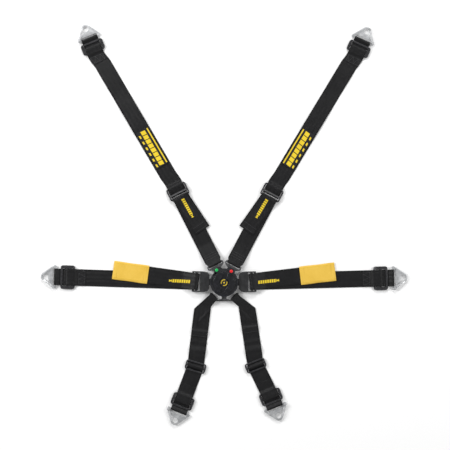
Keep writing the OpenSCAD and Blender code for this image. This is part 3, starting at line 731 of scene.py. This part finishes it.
def strap(name, route, half, where, body, source, ripple=None, ease=0.006, shape=None):
    """Webbing along a route in X and Z: a grid laid along it, then thickened. half may be a
    width or a function of the distance along x. ripple lifts parts of it in soft waves, and
    shape moves each point of it across the surface."""
    line = stations(softened(route, ease), station_pace)
    bpy.ops.mesh.primitive_grid_add(x_subdivisions=len(line) - 1, y_subdivisions=threads_across, size=2)
    piece = bpy.context.object
    piece.name = name
    run = [0.0]
    for a, b in zip(line, line[1:]):
        run.append(run[-1] + (b - a).length)
    weave = piece.data.uv_layers.new(name="weave")
    spots = []
    for v in piece.data.vertices:
        k = round((v.co.x + 1) / 2 * (len(line) - 1))
        y = v.co.y
        here = line[k]
        wide = half(here.x) if callable(half) else half
        lift = ripple(here.x, y, run[k]) if ripple else 0.0
        spots.append((run[k], y * wide))
        v.co = (here.x, y * wide, here.y + lift)
    for loop in piece.data.loops:
        weave.data[loop.index].uv = spots[loop.vertex_index]
    for layer in [u for u in piece.data.uv_layers if u.name != "weave"]:
        piece.data.uv_layers.remove(layer)
    if shape:
        for v in piece.data.vertices:
            v.co = shape(v.co.copy())
    bpy.ops.object.modifier_add(type="SOLIDIFY")
    piece.modifiers[-1].thickness = web_thick
    piece.modifiers[-1].offset = 0
    bpy.ops.object.modifier_apply(modifier=piece.modifiers[-1].name)
    bpy.ops.object.mode_set(mode="EDIT")
    bpy.ops.mesh.select_all(action="SELECT")
    bpy.ops.mesh.normals_make_consistent(inside=False)
    bpy.ops.object.mode_set(mode="OBJECT")
    bpy.ops.object.modifier_add(type="BEVEL")
    piece.modifiers[-1].width = web_thick * 0.3
    piece.modifiers[-1].segments = 2
    piece.modifiers[-1].angle_limit = math.radians(60)
    bpy.ops.object.modifier_apply(modifier=piece.modifiers[-1].name)
    bpy.ops.object.shade_smooth_by_angle(angle=math.radians(50))
    settle(piece, where, black_web, body)
    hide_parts(source)


def set_at(x, y, angle):
    return Matrix.Translation((x, y, 0)) @ turn_about_z(angle)


def smooth(x, low, high):
    t = max(0.0, min(1.0, (x - low) / (high - low)))
    return t * t * (3 - 2 * t)


# Thread: each sewn row is one stitch repeated, in a heavy bonded black nylon.
thread, thread_shader = finish("black_thread", (0.03, 0.03, 0.033), 0.5)
thread_shader.inputs["Sheen Weight"].default_value = 0.2
thread_twist = place_noise(thread, 1200)
mottle(thread, thread_shader, thread_twist.outputs["Fac"], (0.02, 0.02, 0.022), (0.055, 0.055, 0.06))
stitch_pitch = 0.0034
stitch_length = 0.0027
stitch_radius = 0.00034
thread_lift = 0.0001
sewn_top = top_layer + web_thick / 2 + thread_lift
box_half = 0.02


def sewn_row(a, b, z):
    """A row of stitches from a to b, in the strap's own X and Y, lying at height z."""
    a, b = Vector(a), Vector(b)
    count = max(2, round((b - a).length / stitch_pitch))
    bpy.ops.mesh.primitive_cylinder_add(vertices=6, radius=stitch_radius, depth=stitch_length,
        rotation=(0, math.pi / 2, 0))
    row = bpy.context.object
    bpy.ops.object.transform_apply(rotation=True)
    for v in row.data.vertices:
        v.co.z += stitch_radius * (0.2 if abs(v.co.x) < stitch_length / 3 else -0.4)
    bpy.ops.object.modifier_add(type="ARRAY")
    row.modifiers[-1].count = count
    row.modifiers[-1].use_relative_offset = False
    row.modifiers[-1].use_constant_offset = True
    row.modifiers[-1].constant_offset_displace = ((b - a).length / count, 0, 0)
    bpy.ops.object.modifier_apply(modifier=row.modifiers[-1].name)
    d = (b - a).normalized()
    start = a + d * stitch_pitch / 2
    turn = Matrix.Rotation(math.atan2(d.y, d.x), 4, "Z")
    row.data.transform(Matrix.Translation((start.x, start.y, z)) @ turn)
    return row


def box_stitch(x0, x1, half, z):
    """A sewn box with a zigzag inside it."""
    rows = [sewn_row((x0, -half), (x1, -half), z), sewn_row((x0, half), (x1, half), z),
        sewn_row((x0, -half), (x0, half), z), sewn_row((x1, -half), (x1, half), z)]
    turns = 5
    for k in range(turns):
        low, high = -half + 2 * half * k / turns, -half + 2 * half * (k + 1) / turns
        a, b = (x0, x1) if k % 2 == 0 else (x1, x0)
        rows.append(sewn_row((a, low), (b, high), z))
    return rows


def sew(rows, name, where, body, made=None):
    seam = gather(rows, name)
    settle(seam, where, made or thread, body)


# Webbing up through a three-bar slide, round a hook bar and back: its free end lies over the
# slide's middle bar and its inner bar, and ends beyond them.
free_flat = 0.026


def anchor_route(slide, hook_u, lead):
    bar, opening = slide
    flat = bar / 2 + 0.0003
    rise = over_bar - floor_layer
    end = bar * 1.5 + opening + 0.0015
    inner = bar + opening + flat
    under = [(-lead, floor_layer), (-flat - rise, floor_layer), (-flat, over_bar), (flat, over_bar),
        (flat + rise, floor_layer), (end, floor_layer)]
    return under + bend((hook_u, bar_height), loop_radius, -90, 115, 18) \
        + moved_side(under, layer_pitch)[:2:-1] \
        + [(-flat, over_bar + layer_pitch), (0.003 - inner, over_bar), (-inner, over_bar),
        (-inner - rise, top_layer), (-inner - rise - free_flat, top_layer)]


def free_end(slide):
    """Where the free end's sewn stretch starts and stops."""
    start = -sum(slide) - slide[0] / 2 - 0.0003 - (over_bar - floor_layer)
    return start - free_flat + 0.003, start - 0.004


# ---------- shoulder straps ----------
# Each lower strap runs from its tongue to the adjuster. The upper strap comes down from the
# anchor over the adjuster's top bar, under its roller, and out as a pull tail with a hem.
adjuster_u = 0.3
upper_length = 0.508
upper_angle = (120.4, 58.9)
shoulder_hook_angle = (112.0, 65.0)
tail_turn = (6.5, -7.0)
tail_length = 0.119
lower_bar = -0.012
tongue_bar = 0.062
shoulder_slide = (0.005, 0.0095)
slide_lead = 0.045


def lower_width(x):
    return 0.021 + (web_half - 0.021) * smooth(x, tongue_bar + 0.003, tongue_bar + 0.012)


def upper_ripple(x, y, run):
    away = smooth(x, 0.06, 0.16) * smooth(-x, -0.47, -0.4)
    return away * (0.0010 * (1 + math.sin(x * 31)) + 0.0005 * (1 + math.sin(x * 83 + 1.3)) * (0.6 + 0.4 * y))


for i, side in enumerate(SIDES):
    angle = shoulder_angle[i]
    far = adjuster_u + lower_bar
    fold = 0.066
    lower_route = [(tongue_bar + fold, floor_layer), (tongue_bar + 0.014, tongue_height - layer_pitch / 2)] \
        + bend((tongue_bar, tongue_height), tongue_loop, 290, 70, 18) \
        + [(tongue_bar + 0.014, tongue_height + layer_pitch / 2), (tongue_bar + fold, top_layer),
        (far - 0.012, top_layer)] \
        + bend((far, bar_height), loop_radius, 115, -90, 18) + [(far - fold, floor_layer)]
    strap(f"lower_webbing_{side}", lower_route, lower_width, turn_about_z(angle), f"lower_strap_{side}",
        f"lower_strap_{side}")
    slope = (tongue_height + layer_pitch / 2 - top_layer) / (fold - 0.014)
    rows = []
    for k in range(3):
        x = tongue_bar + 0.02 + 0.007 * k
        z = tongue_height + layer_pitch / 2 - slope * (x - tongue_bar - 0.014) + web_thick / 2 + thread_lift
        rows.append(sewn_row((x, -0.021), (x, 0.021), z))
    x = far - 0.014
    for k in range(3):
        rows.append(sewn_row((x - 0.006 * k, -0.021), (x - 0.006 * k, 0.021), sewn_top))
    sew(rows, f"lower_seam_{side}", turn_about_z(angle), f"lower_strap_{side}")

    adjuster = turn_about_z(angle) @ Matrix.Translation((adjuster_u, 0, 0))
    crest = bar_height + loop_radius + web_thick + 0.0003
    low = top_layer + web_thick + 0.0003
    hem = 0.022
    tail_route = [(-tail_length + hem, low + layer_pitch)] \
        + bend((-tail_length, low + layer_pitch / 2), layer_pitch / 2, 90, 270, 6) \
        + [(-0.026, low), (-0.006, crest), (0.0015, crest)]
    tail_place = adjuster @ Matrix.Translation((lower_bar, 0, 0)) @ turn_about_z(tail_turn[i])
    strap(f"shoulder_tail_webbing_{side}", tail_route, web_half, tail_place, f"shoulder_tail_{side}",
        f"shoulder_tail_{side}", ease=0.004)
    top = low + layer_pitch + web_thick / 2 + thread_lift
    hem_rows = [sewn_row((d - tail_length, -0.022), (d - tail_length, 0.022), top)
        for d in (0.004, hem - 0.004)]
    sew(hem_rows, f"shoulder_tail_seam_{side}", tail_place, f"shoulder_tail_{side}")

    top_bar_z = bar_height + 0.0015 + 0.0003 + web_thick / 2
    swing = math.radians(upper_angle[i] - shoulder_angle[i])
    tilt = math.radians(shoulder_hook_angle[i] - shoulder_angle[i])
    upper_route = [(-0.0042, 0.0032), (-0.0025, 0.0022), (0.008, 0.0022), (0.0183, top_bar_z),
        (0.0258, top_bar_z), (0.033, floor_layer), (upper_length - slide_lead, floor_layer)] \
        + [(p[0] + upper_length, p[1]) for p in anchor_route(shoulder_slide, 0.027, slide_lead)][1:]
    pin = Vector((upper_length * math.cos(swing), upper_length * math.sin(swing)))

    def into_limb(co, swing=swing, tilt=tilt, pin=pin):
        """Turns the strap from the adjuster's line to its own, and then to the hook's."""
        t = smooth(co.x, 0.034, 0.064)
        a = swing * t
        flat = Vector((co.x * math.cos(a) - co.y * math.sin(a), co.x * math.sin(a) + co.y * math.cos(a)))
        t = smooth(co.x, upper_length - 0.06, upper_length - 0.018)
        if t:
            b = swing + (tilt - swing) * t
            u = co.x - upper_length
            mid = pin + Vector((math.cos(b), math.sin(b))) * u
            flat = mid + Vector((-math.sin(b), math.cos(b))) * co.y
        return Vector((flat.x, flat.y, co.z))

    strap(f"upper_webbing_{side}", upper_route, web_half, adjuster, f"shoulder_upper_{side}",
        f"upper_strap_{side}", ripple=upper_ripple, shape=into_limb)
    slide_place = adjuster @ Matrix.Translation((pin.x, pin.y, 0)) @ turn_about_z(math.degrees(tilt))
    sew(box_stitch(*free_end(shoulder_slide), box_half, sewn_top), f"upper_seam_{side}", slide_place,
        f"shoulder_upper_{side}")

# ---------- lap straps ----------
# Each lap strap turns round its roller and comes back over itself as a long pull tail. The
# tail's end is sewn into a bright yellow pull tab that the driver can find by touch.
roller_u = 0.083
lap_slide_u = 0.469
lap_tail_turn = (-6.0, 5.4)
lap_tail_length = 0.25
lap_slide = (0.006, 0.0125)
roller_radius = 0.0035
lap_loop = roller_radius + 0.0003 + web_thick / 2
lap_crest = tongue_height + lap_loop + web_thick + 0.0003
lap_step = 0.0033
tab_yellow = woven("yellow_webbing", (0.66, 0.4, 0.035), (0.84, 0.56, 0.1), 0.05, 0.6, 0.004, 0.00012)
yellow_thread = worked_finish("yellow_thread", (0.5, 0.3, 0.01), 0.5, 0, (1200, 4),
    ((0.4, 0.22, 0.01), (0.62, 0.38, 0.02)))
tab_length, tab_width = 0.106, 0.055


def lap_ripple(x, y, run):
    away = smooth(x, 0.13, 0.2) * smooth(-x, -0.43, -0.38)
    covered = 1 - smooth(-x, -0.4, -0.33)
    return away * 0.0006 * (1 + math.sin(x * 47)) * covered


for i, side in enumerate(SIDES):
    limb = turn_about_z(lap_angle[i])
    strap_body = f"lap_strap_{side}"
    lap_route = bend((roller_u, tongue_height), lap_loop, 100, 262, 16) \
        + [(roller_u + 0.035, floor_layer), (lap_slide_u - slide_lead, floor_layer)] \
        + [(p[0] + lap_slide_u, p[1]) for p in anchor_route(lap_slide, 0.0366, slide_lead)][1:]
    strap(f"lap_webbing_{side}", lap_route, web_half, limb, strap_body, f"lap_strap_{side}", ripple=lap_ripple)
    sew(box_stitch(*free_end(lap_slide), box_half, sewn_top), f"lap_seam_{side}",
        limb @ Matrix.Translation((lap_slide_u, 0, 0)), strap_body)

    tail_place = limb @ Matrix.Translation((roller_u, 0, 0)) @ turn_about_z(lap_tail_turn[i])
    low = web_thick * 1.5 + 0.0007
    tail_route = bend((0, tongue_height), lap_crest - tongue_height, 180, 92, 10) \
        + [(0.005, lap_crest), (0.014, lap_crest - lap_step), (0.042, low), (lap_tail_length, low)]
    strap(f"lap_tail_webbing_{side}", tail_route, web_half, tail_place, f"lap_tail_{side}", f"lap_tail_{side}")

    # the tab: a folded yellow band round the tail's end, crowned over it and flat at its seams
    bpy.ops.mesh.primitive_grid_add(x_subdivisions=54, y_subdivisions=28, size=2)
    tab = bpy.context.object
    tab.name = f"pull_tab_band_{side}"
    weave = tab.data.uv_layers.new(name="weave")
    spots = []
    tab_start = lap_tail_length - tab_length + 0.002
    for v in tab.data.vertices:
        s, t = (v.co.x + 1) / 2, v.co.y
        x = tab_start + s * tab_length
        y = t * tab_width / 2 * (1 + 0.012 * math.sin(s * 9))
        over = smooth(1 - abs(t), 0.0, 0.14) * smooth(1 - s, 0.0, 0.05)
        crease = 0.00035 * math.sin(s * 17 + t * 2.1) * over
        v.co = (x, y, low + 0.0012 + 0.0016 * over + crease)
        spots.append((x, y))
    for loop in tab.data.loops:
        weave.data[loop.index].uv = spots[loop.vertex_index]
    for layer in [u for u in tab.data.uv_layers if u.name != "weave"]:
        tab.data.uv_layers.remove(layer)
    bpy.ops.object.modifier_add(type="SOLIDIFY")
    tab.modifiers[-1].thickness = 0.0012
    tab.modifiers[-1].offset = 0
    bpy.ops.object.modifier_apply(modifier=tab.modifiers[-1].name)
    bpy.ops.object.mode_set(mode="EDIT")
    bpy.ops.mesh.select_all(action="SELECT")
    bpy.ops.mesh.normals_make_consistent(inside=False)
    bpy.ops.object.mode_set(mode="OBJECT")
    bpy.ops.object.modifier_add(type="BEVEL")
    tab.modifiers[-1].width = 0.0004
    tab.modifiers[-1].segments = 2
    tab.modifiers[-1].angle_limit = math.radians(60)
    bpy.ops.object.modifier_apply(modifier=tab.modifiers[-1].name)
    bpy.ops.object.shade_smooth_by_angle(angle=math.radians(50))
    settle(tab, tail_place, tab_yellow, f"lap_tail_{side}")
    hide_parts(f"pull_tab_{side}")
    top = low + 0.0012 + 0.0016 + 0.0007
    sew([sewn_row((tab_start + d, -0.0225), (tab_start + d, 0.0225), top) for d in (0.006, 0.013)]
        + [sewn_row((tab_start + tab_length - 0.012, -0.0225), (tab_start + tab_length - 0.012, 0.0225), top)],
        f"pull_tab_seam_{side}", tail_place, f"lap_tail_{side}", yellow_thread)

# ---------- crotch straps ----------
# Folded narrow, each crotch strap loops over a wing of its tongue, opens out flat at the knee,
# and runs down through an adjusting slide and an anchor slide to its hook.
wing = Vector((0.031, -0.0432))
wing_tilt = 46.0
knee = (Vector((-0.0648, -0.0783)), Vector((0.069, -0.0768)))
crotch_slide_at = (Vector((-0.0855, -0.2526)), Vector((0.0945, -0.2493)))
crotch_slide_angle = (253.4, 291.6)
crotch_anchor_at = (Vector((-0.1245, -0.3567)), Vector((0.1404, -0.3432)))
crotch_anchor_angle = (248.6, 292.0)
crotch_slide = (0.004, 0.009)
crotch_anchor = (0.005, 0.0115)
crotch_hook_u = 0.031

top_ply = (0.086, 0.076)
loop_half = 0.0135
loop_flat = 0.012
outer_corner = (0.0035, 0.0245)
inner_corner = (-0.008, 0.0248)
squared_by = 0.03


def turned(x, y, angle):
    c, s = math.cos(math.radians(angle)), math.sin(math.radians(angle))
    return Vector((x * c - y * s, x * s + y * c))


for i, side in enumerate(SIDES):
    sign = (-1, 1)[i]
    start = Vector((sign * wing.x, wing.y))
    wing_angle = 270 + sign * wing_tilt
    bend_at, slide_at, anchor_at = knee[i], crotch_slide_at[i], crotch_anchor_at[i]
    down, along = slide_at - bend_at, anchor_at - slide_at
    main_angle = math.degrees(math.atan2(down.y, down.x)) % 360
    end_angle = math.degrees(math.atan2(along.y, along.x)) % 360
    s_knee = (bend_at - start).length
    s_slide = s_knee + down.length
    s_anchor = s_slide + along.length
    turns = [(s_slide - 0.04, s_slide - 0.012, main_angle, crotch_slide_angle[i]),
        (s_slide + 0.012, s_slide + 0.03, crotch_slide_angle[i], end_angle),
        (s_anchor - 0.035, s_anchor - 0.014, end_angle, crotch_anchor_angle[i])]

    def below_knee(s, across):
        """A point on the strap from the knee to the hook, across from its middle line."""
        angle = main_angle
        for low_s, high_s, a, b in turns:
            if s > low_s:
                angle = a + (b - a) * smooth(s, low_s, high_s)
        if s < s_slide:
            spot = bend_at + turned(s - s_knee, 0, main_angle)
        elif s < s_anchor:
            spot = slide_at + turned(s - s_slide, 0, end_angle)
        else:
            spot = anchor_at + turned(s - s_anchor, 0, crotch_anchor_angle[i])
        return spot + turned(0, across, angle)

    def edge_of(s, hand):
        """The strap's edge: narrow on the wing, opening in a straight line to a sharp corner."""
        corner_s, corner_y = outer_corner if hand == sign else inner_corner
        corner = bend_at + turned(corner_s, hand * corner_y, main_angle)
        squared = below_knee(s_knee + squared_by, hand * web_half)
        if s <= loop_flat:
            return start + turned(s, hand * loop_half, wing_angle)
        if s <= s_knee:
            t = (s - loop_flat) / (s_knee - loop_flat)
            return (start + turned(loop_flat, hand * loop_half, wing_angle)).lerp(corner, t)
        if s <= s_knee + squared_by:
            return corner.lerp(squared, (s - s_knee) / squared_by)
        return below_knee(s, hand * web_half)

    def laid(co):
        spot = edge_of(co.x, -1).lerp(edge_of(co.x, 1), (co.y / web_half + 1) / 2)
        return Vector((spot.x, spot.y, co.z))

    def swell(x, middle, reach):
        return smooth(reach - abs(x - middle), 0, reach)

    def crotch_ripple(x, y, run):
        """The crease below the knee, the bulge above the top ply's end, and the slack below."""
        slope = (x - s_knee - 0.0107) - (-sign * y * web_half - 0.0194) * -1.115
        crease = 0.002 * swell(slope, 0, 0.006) * smooth(x, s_knee + 0.004, s_knee + 0.012) \
            * smooth(-x, -s_knee - 0.045, -s_knee - 0.034)
        bulge = 0.0032 * swell(x, s_knee + top_ply[i] - 0.015, 0.011)
        slack = 0.0045 * swell(x, s_knee + 0.13, 0.022) + 0.0016 * swell(x, s_knee + 0.103, 0.009)
        return crease + bulge + slack

    flat = crotch_slide[0] / 2 + 0.0003
    rise = over_bar - floor_layer
    route = [(s_knee + top_ply[i], top_layer), (s_knee, top_layer), (s_knee - 0.014, top_layer),
        (0.014, tongue_height + layer_pitch / 2)] \
        + bend((0, tongue_height), tongue_loop, 70, 290, 18) \
        + [(0.014, tongue_height - layer_pitch / 2), (s_knee - 0.014, floor_layer), (s_knee, floor_layer),
        (s_slide - flat - rise, floor_layer), (s_slide - flat, over_bar), (s_slide + flat, over_bar),
        (s_slide + flat + rise, floor_layer), (s_anchor - slide_lead, floor_layer)] \
        + [(p[0] + s_anchor, p[1]) for p in anchor_route(crotch_anchor, crotch_hook_u, slide_lead)][1:]
    strap(f"crotch_webbing_{side}", route, web_half, Matrix.Identity(4), f"crotch_strap_{side}",
        f"crotch_strap_{side}", shape=laid, ripple=crotch_ripple)
    rows = [sewn_row((top_ply[i] - d, -0.022), (top_ply[i] - d, 0.022), sewn_top) for d in (0.003, 0.007)]
    sew(rows, f"crotch_seam_{side}", set_at(bend_at.x, bend_at.y, main_angle), f"crotch_strap_{side}")

# ---------- woven labels ----------
# A dark woven label is sewn on each upper shoulder strap, with a yellow line, a row of
# slanted yellow blocks and a row of ticks. A smaller one is on each pull tail.
label_cloth = woven("label_cloth", (0.008, 0.008, 0.009), (0.018, 0.018, 0.02), 0.05, 0.7, 0.0012, 0.00005)
label_yellow = woven("label_yellow", (0.6, 0.42, 0.01), (0.88, 0.66, 0.04), 0.1, 0.6, 0.0012, 0.00005)


def patch(outline, low, high):
    """A thin flat shape from an outline in X and Y, with a weave map in metres."""
    bpy.ops.mesh.primitive_circle_add(vertices=len(outline), radius=0.01, fill_type="NGON")
    shape = bpy.context.object
    for v, (x, y) in zip(shape.data.vertices, outline):
        v.co = (x, y, high)
    bpy.ops.object.mode_set(mode="EDIT")
    bpy.ops.mesh.select_all(action="SELECT")
    bpy.ops.mesh.extrude_region_move(TRANSFORM_OT_translate={"value": (0, 0, low - high)})
    bpy.ops.mesh.select_all(action="SELECT")
    bpy.ops.mesh.normals_make_consistent(inside=False)
    bpy.ops.object.mode_set(mode="OBJECT")
    while shape.data.uv_layers:
        shape.data.uv_layers.remove(shape.data.uv_layers[0])
    weave = shape.data.uv_layers.new(name="weave")
    for loop in shape.data.loops:
        co = shape.data.vertices[loop.vertex_index].co
        weave.data[loop.index].uv = (co.x, co.y)
    return shape


# Each label row: its middle across the strap, its width, its pieces and their share of the pace.
label_rows = ((0.0165, 0.0038, 1, 1.0), (0.0005, 0.0145, 8, 0.84), (-0.0147, 0.005, 6, 0.46))


def slanted(x, y, w, h, slant):
    return [(x, y), (x + w, y), (x + w + slant, y + h), (x + slant, y + h)]


label_length = 0.124
label_at = 0.0955
for i, side in enumerate(SIDES):
    sign = (1, -1)[i]
    swing = upper_angle[i]
    adjuster_spot = Vector((adjuster_u * math.cos(math.radians(shoulder_angle[i])),
        adjuster_u * math.sin(math.radians(shoulder_angle[i]))))
    place = set_at(adjuster_spot.x, adjuster_spot.y, swing)
    base = web_thick + 0.0035
    body = f"shoulder_upper_{side}"
    back = patch([(label_at, -0.021), (label_at + label_length, -0.021), (label_at + label_length, 0.021),
        (label_at, 0.021)], base - 0.0004, base)
    back.name = f"shoulder_label_{side}"
    settle(back, place, label_cloth, body)
    parts = []
    raised = base + 0.00018
    for across, wide, pieces, share in label_rows:
        pace = (label_length - 0.006) / pieces
        for k in range(pieces):
            lean = 0.0018 if pieces > 1 else 0
            outline = slanted(label_at + 0.003 + k * pace, -wide / 2 - sign * across, pace * share, wide,
                lean)
            parts.append(patch(outline, base, raised))
    marks = gather(parts, f"shoulder_label_marks_{side}")
    settle(marks, place, label_yellow, body)

# The small tail marks: a run of slanted blocks that ends in a bow-tie, woven into a strip.
mark_width = 0.0095
mark_blocks = 8
block_length = 0.0068
strip_half = 0.0075
strip_pieces = 12
bow_length = 0.0084
bow_half = 0.0042
bow_waist = 0.0012
low_tail = top_layer + web_thick + 0.0003
lap_low = web_thick * 1.5 + 0.0007


def tail_mark(name, start, turn, where, body, height):
    """A mark that starts at a place on the tail, at a turn from it, and follows its height."""
    outlines = [slanted(k * block_length, -mark_width / 2, block_length * 0.74, mark_width, 0.0009)
        for k in range(mark_blocks)]
    bow = (mark_blocks + 0.1) * block_length
    waist, end = bow + bow_length / 2, bow + bow_length
    outlines.append([(bow, -bow_half), (waist, -bow_waist), (end, -bow_half), (end, bow_half),
        (waist, bow_waist), (bow, bow_half)])
    strip = []
    piece_length = block_length * (mark_blocks + 1.6) / strip_pieces
    for k in range(strip_pieces):
        a, b = k * piece_length - 0.003, (k + 1) * piece_length - 0.003
        strip.append(patch([(a, -strip_half), (b, -strip_half), (b, strip_half), (a, strip_half)], 0, 0.0002))
    blocks = [patch(o, 0.0002, 0.0004) for o in outlines]
    for parts, made, tag, slot_name in ((blocks, label_yellow, "blocks", "tab"),
            (strip, label_cloth, "strip", "webbing")):
        whole = gather(parts, f"{name}_{tag}")
        whole.data.transform(Matrix.Translation((*start, 0)) @ turn_about_z(turn))
        for v in whole.data.vertices:
            v.co.z += height(v.co.x)
        settle(whole, where, made, body)


def ramp_up(x, low, high):
    return max(0.0, min(1.0, (x - low) / (high - low)))


def shoulder_tail_top(x):
    """Height of the shoulder tail's top face: low, then up over the adjuster's lower bar."""
    return low_tail + (crest - low_tail) * ramp_up(x, -0.026, -0.006) + web_thick / 2 + thread_lift


def lap_tail_top(x):
    """Height of the lap tail's top face, which steps down from the roller."""
    drop = lap_step * ramp_up(x, 0.005, 0.014) + (lap_crest - lap_step - lap_low) * ramp_up(x, 0.014, 0.042)
    return lap_crest - drop + web_thick / 2 + thread_lift


for i, side in enumerate(SIDES):
    shoulder_place = turn_about_z(shoulder_angle[i]) @ Matrix.Translation((adjuster_u + lower_bar, 0, 0))
    tail_mark(f"shoulder_tail_mark_{side}", (-0.0085, (-0.002, 0.002)[i]), 180 + (-4.5, 4.5)[i],
        shoulder_place @ turn_about_z(tail_turn[i]), f"shoulder_tail_{side}", shoulder_tail_top)
    lap_place = turn_about_z(lap_angle[i]) @ Matrix.Translation((roller_u, 0, 0))
    tail_mark(f"lap_tail_mark_{side}", (0.0185, (0.0026, -0.0041)[i]), (5.5, -1.3)[i],
        lap_place @ turn_about_z(lap_tail_turn[i]), f"lap_tail_{side}", lap_tail_top)
